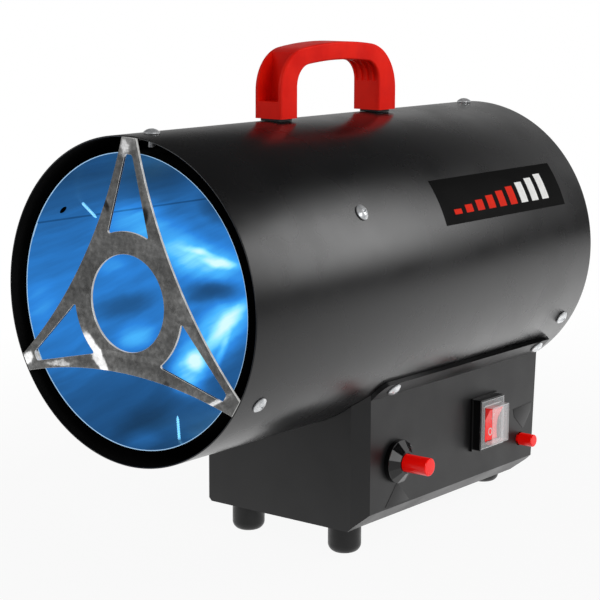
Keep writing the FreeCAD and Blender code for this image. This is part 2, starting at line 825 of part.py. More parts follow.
def coil_spring(x0, x1, radius, wire, turns, y, z):
    """A compression spring: one wire wound along X in half turns."""
    pitch = (x1 - x0 - 2 * wire) / turns
    slope = pitch / (2 * math.pi)
    points, ways = [], []
    for i in range(2 * turns + 1):
        a = math.pi * i
        points.append(V(x0 + wire + slope * a, y + radius * math.cos(a), z + radius * math.sin(a)))
        ways.append(V(slope, -radius * math.sin(a), radius * math.cos(a)).normalize())
    edges = []
    for i in range(2 * turns):
        edges += biarc(points[i], ways[i], points[i + 1], ways[i + 1])
    section = Part.Wire(Part.makeCircle(wire, points[0], ways[0]))
    return Part.Wire(edges).makePipeShell([section], True, False)


def igniter_spring():
    return coil_spring(igniter_bore_end, button_end_x - ignition_button_length, 4.0, 0.5, 7,
                       ignition_y, ignition_z)


def valve_spring():
    return coil_spring(gas_bore_end, valve_front_x - gas_collar, 3.1, 0.4, 4, gas_y, gas_z)


# Rocker switch: bezel and body in one moulding, rocker on two pins, clear splash cap in front
def switch_housing():
    y, z, x = switch_y, switch_z, panel_x
    w, h = bezel_width / 2, bezel_height / 2
    skirt = box(x, x + bezel_skirt, y - w - 0.8, y + w + 0.8, z - h - 0.8, z + h + 0.8)
    bezel = box(x, x + bezel_depth, y - w, y + w, z - h, z + h)
    body = box(x - switch_body_depth, x + 1, y - switch_body_width / 2, y + switch_body_width / 2,
               z - switch_body_height / 2, z + switch_body_height / 2)
    upright = [e for e in bezel.Edges if abs(e.BoundBox.XLength - bezel_depth) < 1e-3]
    housing = bezel.makeFillet(bezel_corner, upright).fuse([skirt, body]).removeSplitter()
    ow, oh = w - bezel_side, h - bezel_frame
    well = box(x - switch_well, x + bezel_depth + 1, y - ow, y + ow, z - oh, z + oh)
    reach = ow + pivot_reach + 0.1
    pins = along_y(pivot_radius + pivot_clearance, y - reach, y + reach, pivot_x, z)
    return housing.cut([well, pins])


def switch_terminals():
    out = []
    x1 = panel_x - switch_body_depth
    for y in (switch_y - switch_body_width / 4, switch_y + switch_body_width / 4):
        for z in (switch_z - terminal_gap, switch_z, switch_z + terminal_gap):
            out.append(box(x1 - terminal_reach, x1, y - 0.4, y + 0.4, z - 2.4, z + 2.4))
    return group(out)


def switch_rocker():
    """Rocker with a dipped face, tilted so that its lower half is pressed in."""
    px = pivot_x
    half_y = bezel_width / 2 - bezel_side - rocker_clearance
    face = rocker_pivot_depth - rocker_dip / 2
    h = rocker_half
    outline = [(face + rocker_dip, h), (face + 0.25, h * 0.3), (face, 0), (face + 0.25, -h * 0.3),
               (face + rocker_dip, -h), (-2.5, -h + 1.5), (-4.5, 0), (-2.5, h - 1.5)]
    points = [V(px + a, switch_y - half_y, switch_z + b) for a, b in outline]
    rocker = prism(points, V(0, 2 * half_y, 0))
    reach = half_y + pivot_reach
    pin = along_y(pivot_radius, switch_y - reach, switch_y + reach, px, switch_z)
    rocker = rocker.fuse(pin).removeSplitter()
    rocker.rotate(V(px, switch_y, switch_z), V(0, 1, 0), rocker_swing / 2)
    return rocker


def switch_cap():
    x0 = panel_x + bezel_depth
    y0, y1 = switch_y + cap_offset - cap_width / 2, switch_y + cap_offset + cap_width / 2
    z0, z1 = switch_z - cap_height / 2, switch_z + cap_height / 2
    cap = box(x0, x0 + cap_depth, y0, y1, z0, z1)
    inner = box(x0 - 1, x0 + cap_depth - cap_wall, y0 + cap_wall, y1 - cap_wall, z0 + cap_wall, z1 - cap_wall)
    lip = box(x0, x0 + cap_lip, switch_y - bezel_width / 2 + 1, switch_y + bezel_width / 2 - 1,
              switch_z - bezel_height / 2 + 1, switch_z + bezel_height / 2 - 1)
    return cap.fuse(lip).removeSplitter().cut(inner)


# Gas valve with its button, inlet at the rear wall and outlet towards the burner
def gas_valve():
    y, z, port = gas_y, gas_z, valve_port_x
    body = along_x(valve_radius, valve_end_x, valve_front_x, y, z)
    nose = along_x(valve_nose_radius, valve_front_x - 1, panel_x - base_wall, y, z)
    block = box(port - valve_block, port + valve_block, y - valve_radius - 1, y + valve_radius + 1,
                z - valve_radius - 1, z + valve_block)
    outlet = along_y(5.5, y - outlet_reach, y, port, z)
    body = body.fuse([nose, block, outlet]).removeSplitter()
    bore = along_x(gas_button_radius + slide_clearance, gas_bore_end, panel_x, y, z)
    tail = valve_front_x - gas_collar - gas_tail - gas_travel
    well = along_x(gas_stem_radius + slide_clearance, tail - 1, panel_x, y, z)
    port_hole = along_y(pipe_radius + 0.1, y - outlet_reach - 1, y - valve_radius + 2, port, z)
    return body.cut([bore, well, port_hole])


def gas_button():
    x0 = panel_x + gas_stem_show
    cap = along_x(gas_button_radius, x0, x0 + gas_button_length, gas_y, gas_z)
    edge = [e for e in cap.Edges if abs(e.BoundBox.XMin - x0 - gas_button_length) < 1e-3]
    cap = cap.makeFillet(0.7, edge)
    collar = along_x(gas_button_radius, valve_front_x - gas_collar, valve_front_x, gas_y, gas_z)
    stem = along_x(gas_stem_radius, valve_front_x - gas_collar - gas_tail, x0 + 1, gas_y, gas_z)
    return cap.fuse([stem, collar]).removeSplitter()


def gas_inlet():
    """Brass nipple: its shank runs from the valve through the rear wall to the hose thread."""
    start = gas_y + valve_radius + 1
    thread_y = rear_wall_y(gas_z) + inlet_stand
    end = thread_y + inlet_thread + inlet_chamfer
    thread = along_y(inlet_radius, thread_y, end, valve_port_x, gas_z)
    edge = [e for e in thread.Edges if abs(e.BoundBox.YMin - end) < 1e-3]
    shank = along_y(inlet_neck, start, thread_y + 1, valve_port_x, gas_z)
    nipple = thread.makeChamfer(inlet_chamfer, edge).fuse(shank).removeSplitter()
    return nipple.cut(along_y(inlet_bore, start - 1, end + 1, valve_port_x, gas_z))


def cable_gland():
    wall_y = rear_wall_y(gland_z)
    y0, y1 = wall_y - base_wall - 8, wall_y + gland_length
    body = along_y(gland_radius, y0, y1, gland_x, gland_z)
    lean = gland_flange * rear_draft + 0.1
    dome = along_y(gland_flange, wall_y + lean, wall_y + 4, gland_x, gland_z)
    body = body.fuse(dome).removeSplitter()
    return body.cut(along_y(gland_bore, y0 - 1, y1 + 1, gland_x, gland_z))


def gland_nut():
    height = 4.5
    lean = gland_flats * 0.6 * rear_draft + 0.1
    return hex_nut(V(gland_x, rear_wall_y(gland_z) - base_wall - lean - height, gland_z), V(0, 1, 0),
                   V(1, 0, 0), V(0, 0, 1), gland_flats, height, gland_radius + 0.05)


def gas_pipe():
    start = V(valve_port_x, gas_y - valve_radius, gas_z)
    points = [start, V(valve_port_x, jet_y + 26, gas_z), V(0, jet_y, gas_z + 12), V(0, jet_y, -9)]
    return tube_along(points, pipe_radius, pipe_bend)


def pipe_nuts():
    lower = hex_nut(V(valve_port_x, gas_y - outlet_reach - pipe_nut_height, gas_z), V(0, 1, 0),
                    V(1, 0, 0), V(0, 0, 1), pipe_nut_flats, pipe_nut_height, pipe_radius + 0.1)
    upper = hex_nut(V(0, jet_y, -jet_block_half - 3 - pipe_nut_height), V(0, 0, 1), V(1, 0, 0),
                    V(0, 1, 0), pipe_nut_flats, pipe_nut_height, pipe_radius + 0.1)
    return group([lower, upper])


# Burner: slotted plate, perforated cup, mixing tube and brass jet
def burner_plate():
    edge = liner_radius - seat_gap - liner_wall
    disc = along_y(edge, plate_y, plate_y + plate_sheet)
    plate = disc.fuse(sleeve_y(edge, edge - plate_sheet, plate_y, plate_y + plate_rim)).removeSplitter()
    y0, y1 = plate_y - 2, plate_y + 4
    cuts = [along_y(mixer_radius + 0.1, y0, y1)]
    for i in range(plate_slots):
        slot = box(slot_inner, liner_radius - slot_edge, y0, y1, -slot_width / 2, slot_width / 2)
        slot.rotate(V(0, 0, 0), V(0, 1, 0), 360.0 * (i + 0.5) / plate_slots)
        cuts.append(slot)
    cuts.append(along_y(insulator_radius + 0.1, y0, y1, probe_x, 0))
    cuts.append(along_y(thermocouple_radius + 0.1, y0, y1, -probe_x, 0))
    return plate.cut(cuts)


def burner_cup():
    """A flared cup in front of the plate, with a ring of holes in its wall."""
    bore, back, front, t = mixer_radius + 0.1, mixer_radius + cup_foot, cup_front_radius, cup_sheet
    y1 = plate_y - 0.1
    outline = [V(bore, 0, 0), V(back, 0, 0), V(front, 0, cup_length), V(front - t, 0, cup_length),
               V(back - t, 0, t), V(bore, 0, t)]
    cup = turn_about(Part.makePolygon(outline + [outline[0]]), V(0, y1, 0), V(0, -1, 0))
    mid = y1 - cup_length / 2
    for i in range(cup_holes):
        d = radial(360.0 * i / cup_holes)
        cup = cup.cut(rod(cup_hole_radius, d * mixer_radius + V(0, mid, 0), d * (front + 5) + V(0, mid, 0)))
    return cup


def mixing_tube():
    tube = sleeve_y(mixer_radius, mixer_radius - mixer_wall, plate_y - mixer_nose, mixer_end_y)
    neck = sleeve_y(mixer_radius, jet_nose_radius + 0.1, mixer_end_y - 3, mixer_end_y)
    tube = tube.fuse(neck).removeSplitter()
    holes_y = mixer_end_y - 10
    for a in (0, 90, 180, 270):
        middle = V(0, holes_y, 0)
        tube = tube.cut(rod(air_hole_radius, middle, middle + radial(a) * (mixer_radius + 5)))
    return tube


def gas_jet():
    h = jet_block_half
    nose = along_y(jet_nose_radius, mixer_end_y - 4, jet_y, 0, 0)
    tip = along_y(2.5, mixer_end_y - 8, mixer_end_y - 3, 0, 0)
    block = box(-h, h, jet_y - h, jet_y + h - 1, -h - 3, h)
    jet = nose.fuse([tip, block]).removeSplitter()
    return jet.cut([rod(pipe_radius + 0.1, V(0, jet_y, -h - 5), V(0, jet_y, -2)),
                    along_y(0.6, mixer_end_y - 10, jet_y, 0, 0)])


def electrode_insulator():
    body = along_y(insulator_radius, plate_y - 14, plate_y + 16, probe_x, 0)
    return body.cut(along_y(electrode_radius + 0.1, plate_y - 20, plate_y + 20, probe_x, 0))


def electrode():
    points = [V(probe_x, plate_y + 19, 0), V(probe_x, plate_y - 24, 0), V(probe_x - 12, plate_y - 34, 0)]
    return tube_along(points, electrode_radius, 6.0)


def thermocouple():
    return along_y(thermocouple_radius, plate_y - 22, plate_y + 14, -probe_x, 0)


# Leads that the heater holds all the way
def ignition_lead():
    end_y = plate_y + 19.2
    run = jet_y - ignition_y
    low_y, high_y = ignition_y + 0.4 * run, ignition_y + 0.75 * run
    points = [V(igniter_end_x - terminal_length - 0.1, ignition_y, ignition_z),
              V(igniter_end_x - 18, ignition_y, ignition_z), V(-4, low_y, base_bottom + 33),
              V(9, high_y, base_bottom + 37), V(11, jet_y + 3, -tube_radius - 3),
              V(14, jet_y + 9, -tube_radius + 28), V(30, jet_y + 8, -36), V(probe_x, jet_y + 3, -10),
              V(probe_x, end_y + 14, 0), V(probe_x, end_y, 0)]
    return tube_along(points, ignition_lead_radius)


def thermocouple_lead():
    start_y = plate_y + 14.1
    window_z = -tube_radius + 6
    points = [V(-probe_x, start_y, 0), V(-probe_x, start_y + 14, 0), V(2 - probe_x, jet_y + 2, -20),
              V(-24, jet_y + 6, -54), V(-10, jet_y + 6, window_z), V(-13, jet_y + 22, base_bottom + 39),
              V(-18, gas_y - 24.5, gas_z), V(-14, gas_y, gas_z), V(valve_end_x - 0.1, gas_y, gas_z)]
    return tube_along(points, thermocouple_lead_radius)


# Shaded pole motor on the rear guard, with the fan on its front shaft
def motor_bolt_places():
    return [(-motor_bolt_x, 0.0), (motor_bolt_x, 0.0)]


def motor_bolt_holes():
    radius = motor_bolt_radius + hole_clearance
    return [along_y(radius, stator_y - 30, tube_length, x, z) for x, z in motor_bolt_places()]


def bracket_ys():
    """Front faces of the two brackets that hold the bearings."""
    stand = bracket_stand + seat_gap
    return [stator_y - stand - bracket_sheet, stator_y + stator_depth + stand]


def motor_stator():
    core = box(-stator_half, stator_half, stator_y, stator_y + stator_depth, stator_bottom, stator_top)
    y0, y1 = stator_y - 5, stator_y + stator_depth + 5
    eyes = box(-eye_half, eye_half, y0, y1, stator_bottom + stator_leg, eye_top)
    return core.cut([along_y(rotor_radius + air_gap, y0, y1), eyes] + motor_bolt_holes())


def motor_coil():
    """Copper winding round the core's lower leg."""
    y0, y1 = stator_y - coil_reach, stator_y + stator_depth + coil_reach
    half = eye_half - 0.5
    block = box(-half, half, y0, y1, stator_bottom - coil_wall, stator_bottom + stator_leg + coil_wall - 1)
    block = block.makeFillet(coil_corner, [e for e in block.Edges if is_along_x(e)])
    gap = coil_clearance
    leg = box(-eye_half, eye_half, stator_y - gap, stator_y + stator_depth + gap,
              stator_bottom - gap, stator_bottom + stator_leg + gap)
    return block.cut(leg)


def motor_brackets():
    out = []
    front_y, rear_y = bracket_ys()
    for y0, leg_y in ((front_y, front_y + bracket_sheet - 0.5), (rear_y, rear_y - bracket_stand)):
        strap = box(-stator_half, stator_half, y0, y0 + bracket_sheet, -bracket_half, bracket_half)
        boss = along_y(bracket_boss, y0, y0 + bracket_sheet)
        leg_end = leg_y + bracket_stand + 0.5
        legs = [along_y(bracket_leg, leg_y, leg_end, x, z) for x, z in motor_bolt_places()]
        body = strap.fuse([boss] + legs).removeSplitter()
        bore = along_y(bearing_radius + 0.05, y0 - 1, y0 + bracket_sheet + 1)
        out.append(body.cut([bore] + motor_bolt_holes()))
    return group(out)


def motor_bearings():
    return group([sleeve_y(bearing_radius, shaft_radius + bearing_clearance, y, y + bracket_sheet)
                  for y in bracket_ys()])


def motor_bolts():
    seat = bracket_ys()[0] - 0.1
    reach = guard_y + guard_wire + motor_nut_height + 0.5 - seat
    return group([pan_screw(V(x, seat, z), V(0, -1, 0), reach, motor_head_radius, motor_head_height,
                            motor_bolt_radius) for x, z in motor_bolt_places()])


def motor_nuts():
    y, bore = guard_y + guard_wire + 0.1, motor_bolt_radius + 0.05
    return group([hex_nut(V(x, y, z), V(0, 1, 0), V(1, 0, 0), V(0, 0, 1), motor_nut_flats,
                          motor_nut_height, bore) for x, z in motor_bolt_places()])


def motor_spacers():
    y0, y1 = bracket_ys()[1] + bracket_sheet, guard_y
    bore = motor_bolt_radius + hole_clearance
    return group([along_y(spacer_outer, y0, y1, x, z).cut(along_y(bore, y0 - 1, y1 + 1, x, z))
                  for x, z in motor_bolt_places()])


def motor_rotor():
    return sleeve_y(rotor_radius, shaft_radius + press_gap, stator_y, stator_y + stator_depth)


def motor_shaft():
    return along_y(shaft_radius, fan_y + 2, bracket_ys()[1] + bracket_sheet + 0.5)


def blade_section(radius, chord, pitch, camber):
    """Cambered section across a blade at one radius, as a closed wire."""
    p = math.radians(pitch)
    along = V(0, math.sin(p), math.cos(p))
    across = V(0, math.cos(p), -math.sin(p))
    centre = V(radius, fan_y + hub_length / 2, 0)
    a, b = centre - along * (chord / 2), centre + along * (chord / 2)
    t = across * blade_thickness
    crown = centre + across * camber
    return Part.Wire([Part.Arc(a, crown, b).toShape(), Part.LineSegment(b, b + t).toShape(),
                      Part.Arc(b + t, crown + t, a + t).toShape(), Part.LineSegment(a + t, a).toShape()])


def fan():
    hub = along_y(hub_radius, fan_y, fan_y + hub_length)
    front = [e for e in hub.Edges if abs(e.BoundBox.YMax - fan_y) < 1e-3]
    hub = hub.makeFillet(hub_nose, front)
    blades = []
    tip = shell_inner - blade_gap
    places = [hub_radius - blade_root, (hub_radius + tip) / 2, tip]
    sections = [blade_section(r, *shape) for r, shape in zip(places, blade_shapes)]
    blade = Part.makeLoft(sections, True, False)
    for i in range(blade_count):
        copy = blade.copy()
        copy.rotate(V(0, 0, 0), V(0, 1, 0), 360.0 * i / blade_count)
        blades.append(copy)
    body = hub.fuse(blades)
    return body.cut(along_y(shaft_radius + press_gap, fan_y + 2 - press_gap, fan_y + hub_length + 1))


# Rear guard: wire rings and a centre plate on three arms with tabs for the shell screws
def rear_guard():
    outer = shell_inner - guard_edge_gap
    pitch = (outer - guard_inner_ring) / (guard_rings - 1)
    y0, y1 = guard_y, guard_y + guard_wire
    rings = []
    for i in range(guard_rings):
        r = guard_inner_ring + pitch * i
        rings.append(sleeve_y(r + guard_wire / 2, r - guard_wire / 2, y0, y1))
    reach = shell_inner - seat_gap
    arms = []
    for a in guard_angles:
        arm = box(guard_plate_radius - 7, reach, y0, y1, -guard_arm_half, guard_arm_half)
        tab = box(reach - guard_wire, reach, y0 - guard_tab_length, y1, -guard_arm_half, guard_arm_half)
        arm = arm.fuse(tab)
        arm.rotate(V(0, 0, 0), V(0, 1, 0), -a)
        arms.append(arm)
    plate = along_y(guard_plate_radius, y0, y1)
    guard = plate.fuse(rings + arms).removeSplitter()
    guard = guard.cut(motor_bolt_holes() + [along_y(guard_centre_hole, y0 - 1, y1 + 1)])
    return drill(guard, guard_angles, [guard_screw_y], tube_radius)


def stand_up(shape, tilt):
    """Turn the heater onto its feet, with the floor at Z = 0 under the middle of the tube."""
    turn = FreeCAD.Placement(V(0, 0, 0), FreeCAD.Rotation(V(1, 0, 0), math.degrees(tilt)))
    sole = turn.multVec(V(0, front_foot_y, base_bottom - front_foot_height))
    middle = turn.multVec(V(0, tube_length / 2, 0))
    out = shape.copy()
    out.transformShape(turn.toMatrix())
    out.translate(V(0, -middle.y, -foot_flat - sole.z))
    return out


def level_soles(solids):
    """Cut the soles flat where they meet the floor."""
    block = box(-200, 200, -400, 400, 0, 400)
    return group([s.common(block) for s in solids])


def build():
    liner_shank = tube_radius - liner_radius + tail_length
    made = {
        "outer_shell": outer_shell(),
        "combustion_liner": combustion_liner(),
        "liner_spacers": liner_spacers(),
        "liner_screws": group(shell_screws(liner_angles, liner_screw_y, liner_shank)),
        "front_grille": front_grille(),
        "grille_screws": group(shell_screws(star_angles, grille_screw_y, grille_shank)),
        "rear_guard": rear_guard(),
        "guard_screws": group(shell_screws(guard_angles, guard_screw_y, guard_shank)),
        **base_panels(),
        "base_screws": base_screws(),
        "foot_screws": foot_screws(),
        "foot_nuts": foot_nuts(),
        "handle": handle(),
        "handle_pads": handle_pads(),
        "handle_screws": handle_screws(),
        "handle_nuts": handle_nuts(),
        "igniter_nut": igniter_nut(),
        "igniter_body": igniter_body(),
        "ignition_button": ignition_button(),
        "igniter_spring": igniter_spring(),
        "switch_housing": switch_housing(),
        "switch_terminals": switch_terminals(),
        "switch_rocker": switch_rocker(),
        "switch_cap": switch_cap(),
        "gas_valve": gas_valve(),
        "gas_button": gas_button(),
        "valve_spring": valve_spring(),
        "gas_inlet": gas_inlet(),
        "cable_gland": cable_gland(),
        "gland_nut": gland_nut(),
        "gas_pipe": gas_pipe(),
        "pipe_nuts": pipe_nuts(),
        "burner_plate": burner_plate(),
        "burner_cup": burner_cup(),
        "mixing_tube": mixing_tube(),
        "gas_jet": gas_jet(),
        "electrode_insulator": electrode_insulator(),
        "electrode": electrode(),
        "thermocouple": thermocouple(),
        "ignition_lead": ignition_lead(),
        "thermocouple_lead": thermocouple_lead(),
        "motor_stator": motor_stator(),
        "motor_coil": motor_coil(),
        "motor_brackets": motor_brackets(),
        "motor_bearings": motor_bearings(),
        "motor_bolts": motor_bolts(),
        "motor_nuts": motor_nuts(),
        "motor_spacers": motor_spacers(),
        "motor_rotor": motor_rotor(),
        "motor_shaft": motor_shaft(),
        "fan": fan(),
    }
    tilt = -math.atan2(front_foot_height - rear_foot_height, rear_foot_y - front_foot_y)
    placed = {name: stand_up(shape, tilt) for name, shape in made.items()}
    for name, y, height in (("front_feet", front_foot_y, front_foot_height),
                            ("rear_feet", rear_foot_y, rear_foot_height)):
        placed[name] = level_soles([stand_up(s, tilt) for s in feet(y, height)])
    return placed


os.makedirs("parts", exist_ok=True)
for node, shape in build().items():
    bad = [s for s in shape.Solids if not s.isValid() or s.Volume <= 0]
    print(node, len(shape.Solids), "solids", round(shape.Volume, 1), "mm3", "FAULTY" if bad else "")
    shape.exportStep("parts/%s.step" % node)
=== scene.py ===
import json
import math

import bmesh
import bpy
from mathutils import Matrix, Vector
from mathutils.bvhtree import BVHTree


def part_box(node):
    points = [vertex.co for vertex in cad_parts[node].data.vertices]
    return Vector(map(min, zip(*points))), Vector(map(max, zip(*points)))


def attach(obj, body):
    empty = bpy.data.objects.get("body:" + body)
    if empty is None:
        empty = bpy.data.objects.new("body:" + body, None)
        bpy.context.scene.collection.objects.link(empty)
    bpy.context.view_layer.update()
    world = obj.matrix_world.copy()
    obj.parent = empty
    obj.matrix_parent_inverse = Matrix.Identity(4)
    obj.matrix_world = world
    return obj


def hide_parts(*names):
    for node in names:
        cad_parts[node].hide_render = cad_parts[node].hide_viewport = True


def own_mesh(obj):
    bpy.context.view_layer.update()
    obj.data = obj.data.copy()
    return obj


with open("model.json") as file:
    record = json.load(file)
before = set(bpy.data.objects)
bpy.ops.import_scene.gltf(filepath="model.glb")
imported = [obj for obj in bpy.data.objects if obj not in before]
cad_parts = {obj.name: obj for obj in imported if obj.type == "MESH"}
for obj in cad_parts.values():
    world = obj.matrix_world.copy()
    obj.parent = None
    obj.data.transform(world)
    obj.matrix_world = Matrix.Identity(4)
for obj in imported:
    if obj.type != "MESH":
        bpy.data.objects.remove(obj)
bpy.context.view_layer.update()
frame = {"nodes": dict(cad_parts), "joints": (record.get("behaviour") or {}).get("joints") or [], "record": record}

record = frame["record"]
nodeSlot = {part["node"]: part["material_slot"] for part in record["subparts"]}
nodeBody = {node: body for body, members in record["behaviour"]["bodies"].items() for node in members}
joints = {joint["name"]: joint for joint in frame["joints"]}
print("frame loaded:", len(frame["nodes"]), "nodes")


# The tube's own frame, read from the model: X across, Y along the tube from its front rim, Z up
def readTubeFrame():
    along = Vector(joints["fan_spin"]["axis"]).normalized()
    across = Vector((1, 0, 0))
    up = across.cross(along)
    low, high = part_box("outer_shell")
    radius = (high.x - low.x) / 2
    lean = abs(math.asin(along.z))
    length = (high.y - low.y - 2 * radius * math.sin(lean)) / math.cos(lean)
    start = (low + high) / 2 - along * length / 2
    turned = Matrix((across, along, up)).transposed().to_4x4()
    return Matrix.Translation(start) @ turned, radius * 1000, length * 1000


tubeFrame, tubeRadius, tubeLength = readTubeFrame()
millimetres = tubeFrame @ Matrix.Scale(0.001, 4)


def polar(angle, radius, y):
    a = math.radians(angle)
    return Vector((radius * math.cos(a), y, radius * math.sin(a)))


# Colours and patterns
def linear(code, alpha=1.0):
    channels = []
    for i in (1, 3, 5):
        c = int(code[i:i + 2], 16) / 255
        channels.append(c / 12.92 if c <= 0.04045 else ((c + 0.055) / 1.055) ** 2.4)
    return (*channels, alpha)


def perMetre(size):
    return 1000.0 / size     # pattern scale for a feature of that many millimetres


def addNode(owner, kind, values=None, links=None, **settings):
    # a node in the tree of a material or world, or in a tree by itself
    tree = getattr(owner, "node_tree", owner)
    node = tree.nodes.new(kind)
    for key, value in settings.items():
        setattr(node, key, value)
    for key, value in (values or {}).items():
        node.inputs[key].default_value = value
    for key, source in (links or {}).items():
        tree.links.new(source, node.inputs[key])
    return node


def addMath(owner, operation, *terms, kind="ShaderNodeMath"):
    # each term is a number or another node's output
    links = {i: term for i, term in enumerate(terms) if isinstance(term, bpy.types.NodeSocket)}
    values = {i: term for i, term in enumerate(terms) if i not in links}
    node = addNode(owner, kind, values, links, operation=operation)
    return node.outputs["Value" if operation in ("LENGTH", "DOT_PRODUCT") else 0]


def vectorMath(owner, operation, *terms):
    return addMath(owner, operation, *terms, kind="ShaderNodeVectorMath")


def spread(owner, value, limits, reach=(0.0, 1.0), **settings):
    # a value between two limits, spread over the reach and held there beyond them
    names = ("From Min", "From Max", "To Min", "To Max")
    values = dict(zip(names, (*limits, *reach)))
    return addNode(owner, "ShaderNodeMapRange", values, {"Value": value}, **settings).outputs["Result"]


def noiseAt(owner, size, detail=4.0, place=None, output="Fac", **values):
    if place is None:
        place = addNode(owner, "ShaderNodeTexCoord").outputs["Object"]
    values = {"Scale": perMetre(size), "Detail": detail, **values}
    return addNode(owner, "ShaderNodeTexNoise", values, {"Vector": place}).outputs[output]


def toneRamp(owner, value, tones):
    # tones are (position, tone), where a tone is a colour code or a grey level
    ramp = addNode(owner, "ShaderNodeValToRGB", links={"Fac": value})
    elements = ramp.color_ramp.elements
    elements[0].position, elements[1].position = tones[0][0], tones[-1][0]
    stops = [elements[0]] + [elements.new(position) for position, tone in tones[1:-1]]
    stops.append(elements[len(elements) - 1])
    for stop, (position, tone) in zip(stops, tones):
        stop.color = linear(tone) if isinstance(tone, str) else (tone, tone, tone, 1)
    return ramp.outputs["Color"]


def parted(owner, vector, axis):
    return addNode(owner, "ShaderNodeSeparateXYZ", links={"Vector": vector}).outputs[axis]


def turnedBy(owner, vector, degrees):
    return addNode(owner, "ShaderNodeVectorRotate", {"Angle": math.radians(degrees)}, {"Vector": vector},
                   rotation_type="Z_AXIS").outputs["Vector"]


def mixShaders(owner, share, first, second):
    return addNode(owner, "ShaderNodeMixShader", links={0: share, 1: first, 2: second}).outputs[0]


def connect(owner, source, node, key):
    owner.node_tree.links.new(source, node.inputs[key])


def setSurface(material, source):
    connect(material, source, material.node_tree.nodes["Material Output"], "Surface")


def newMaterial(name, color, roughness, metallic=0.0, **values):
    material = bpy.data.materials.new(name)
    material.use_nodes = True
    shader = material.node_tree.nodes["Principled BSDF"]
    shader.inputs["Base Color"].default_value = linear(color)
    shader.inputs["Roughness"].default_value = roughness
    shader.inputs["Metallic"].default_value = metallic
    for key, value in values.items():
        shader.inputs[key.replace("_", " ")].default_value = value
    return material, shader


def driftColor(material, shader, dark, pale, size):
    # colour drifts between two tones over patches of this many millimetres
    drift = toneRamp(material, noiseAt(material, size), [(0.35, dark), (0.65, pale)])
    connect(material, drift, shader, "Base Color")


def driftRoughness(material, shader, low, high, size, detail=4.0):
    drift = spread(material, noiseAt(material, size, detail), (0.3, 0.7), (low, high))
    connect(material, drift, shader, "Roughness")


def grainBump(material, shader, size, depth, strength=0.5):
    # grain of this many millimetres, raised by this depth in millimetres
    bump = addNode(material, "ShaderNodeBump", {"Strength": strength, "Distance": depth / 1000},
                   {"Height": noiseAt(material, size, 3.0)})
    connect(material, bump.outputs["Normal"], shader, "Normal")


def powderCoatSteel():
    # polyester powder coat, sprayed and baked: satin charcoal with a fine orange peel
    material, shader = newMaterial("powderCoatSteel", "#141415", 0.27, Specular_IOR_Level=0.5)
    driftColor(material, shader, "#131314", "#171718", 60)
    driftRoughness(material, shader, 0.23, 0.31, 35)
    grainBump(material, shader, 0.9, 0.02, 0.35)
    return material


def shadePaintedSteel():
    # painted shade: the shell's inner face, near black and dull with faint patches, where shade fills the gap to
    # the liner
    material, shader = newMaterial("shadePaintedSteel", "#070707", 0.7, Specular_IOR_Level=0.15)
    driftColor(material, shader, "#050505", "#0b0b0b", 20)
    return material


def tubeCoordinates(material):
    # positions in the tube's own frame, still in metres
    coords = addNode(material, "ShaderNodeTexCoord").outputs["Object"]
    inverse = tubeFrame.inverted()
    values = {"Rotation": inverse.to_euler(), "Location": inverse.translation}
    return addNode(material, "ShaderNodeMapping", values, {"Vector": coords}).outputs["Vector"]


def addSpot(material, total, place, at, turn, size, gain, edge=0.0):
    # a soft oval added to a level: size is its half length along the turned second axis and its half width
    moved = vectorMath(material, "SUBTRACT", place, (at[0] / 1000, at[1] / 1000, 0.0))
    turned = turnedBy(material, moved, turn)
    scaled = vectorMath(material, "MULTIPLY", turned, (perMetre(size[1]), perMetre(size[0]), 0.0))
    away = vectorMath(material, "LENGTH", scaled)
    near = spread(material, away, (1.0, edge), (0.0, gain), interpolation_type="SMOOTHERSTEP")
    return addMath(material, "ADD", total, near)


def warped(material, place, size, reach):
    # the same positions pushed about by noise, so that soft shapes lose their even outlines
    noise = noiseAt(material, size, place=place, output="Color")
    push = vectorMath(material, "SUBTRACT", noise, (0.5, 0.5, 0.5))
    small = vectorMath(material, "MULTIPLY", push, (reach / 1000,) * 3)
    return vectorMath(material, "ADD", place, small)


# Dark blots and painted highlights on the star, at (x, z) in the tube's frame: a positive gain is a painted
# highlight, a negative gain a dark blot
starBlotsAndHighlights = [
    {"at": (-24, -31), "turn": -38, "size": (19, 5.6), "gain": 0.5, "edge": 0.55},
    {"at": (-80, -41), "turn": 60, "size": (8, 5), "gain": 0.5, "edge": 0.4},
    {"at": (-54, -40), "turn": 82, "size": (17, 2.5), "gain": 0.3, "edge": 0.3},
    {"at": (0, 86), "turn": 0, "size": (9, 6), "gain": 0.3, "edge": 0.3},
    {"at": (14, 49), "turn": 14, "size": (7, 3.5), "gain": -0.5, "edge": 0.3},
    {"at": (-15, 54), "turn": -12, "size": (5, 3), "gain": -0.5, "edge": 0.3},
    {"at": (26, -44), "turn": 60, "size": (8, 4), "gain": -0.4, "edge": 0.3},
    {"at": (60, -48), "turn": 62, "size": (22, 2.6), "gain": 0.4, "edge": 0.3},
    {"at": (79, -58), "turn": 60, "size": (7, 4), "gain": 0.25, "edge": 0.3},
]
# the pale top of these tones is the painted highlight
starTones = [(0.0, "#2c2c2c"), (0.3, "#515151"), (0.5, "#7c7c7b"), (0.72, "#b2b2b1"), (1.0, "#ffffff")]


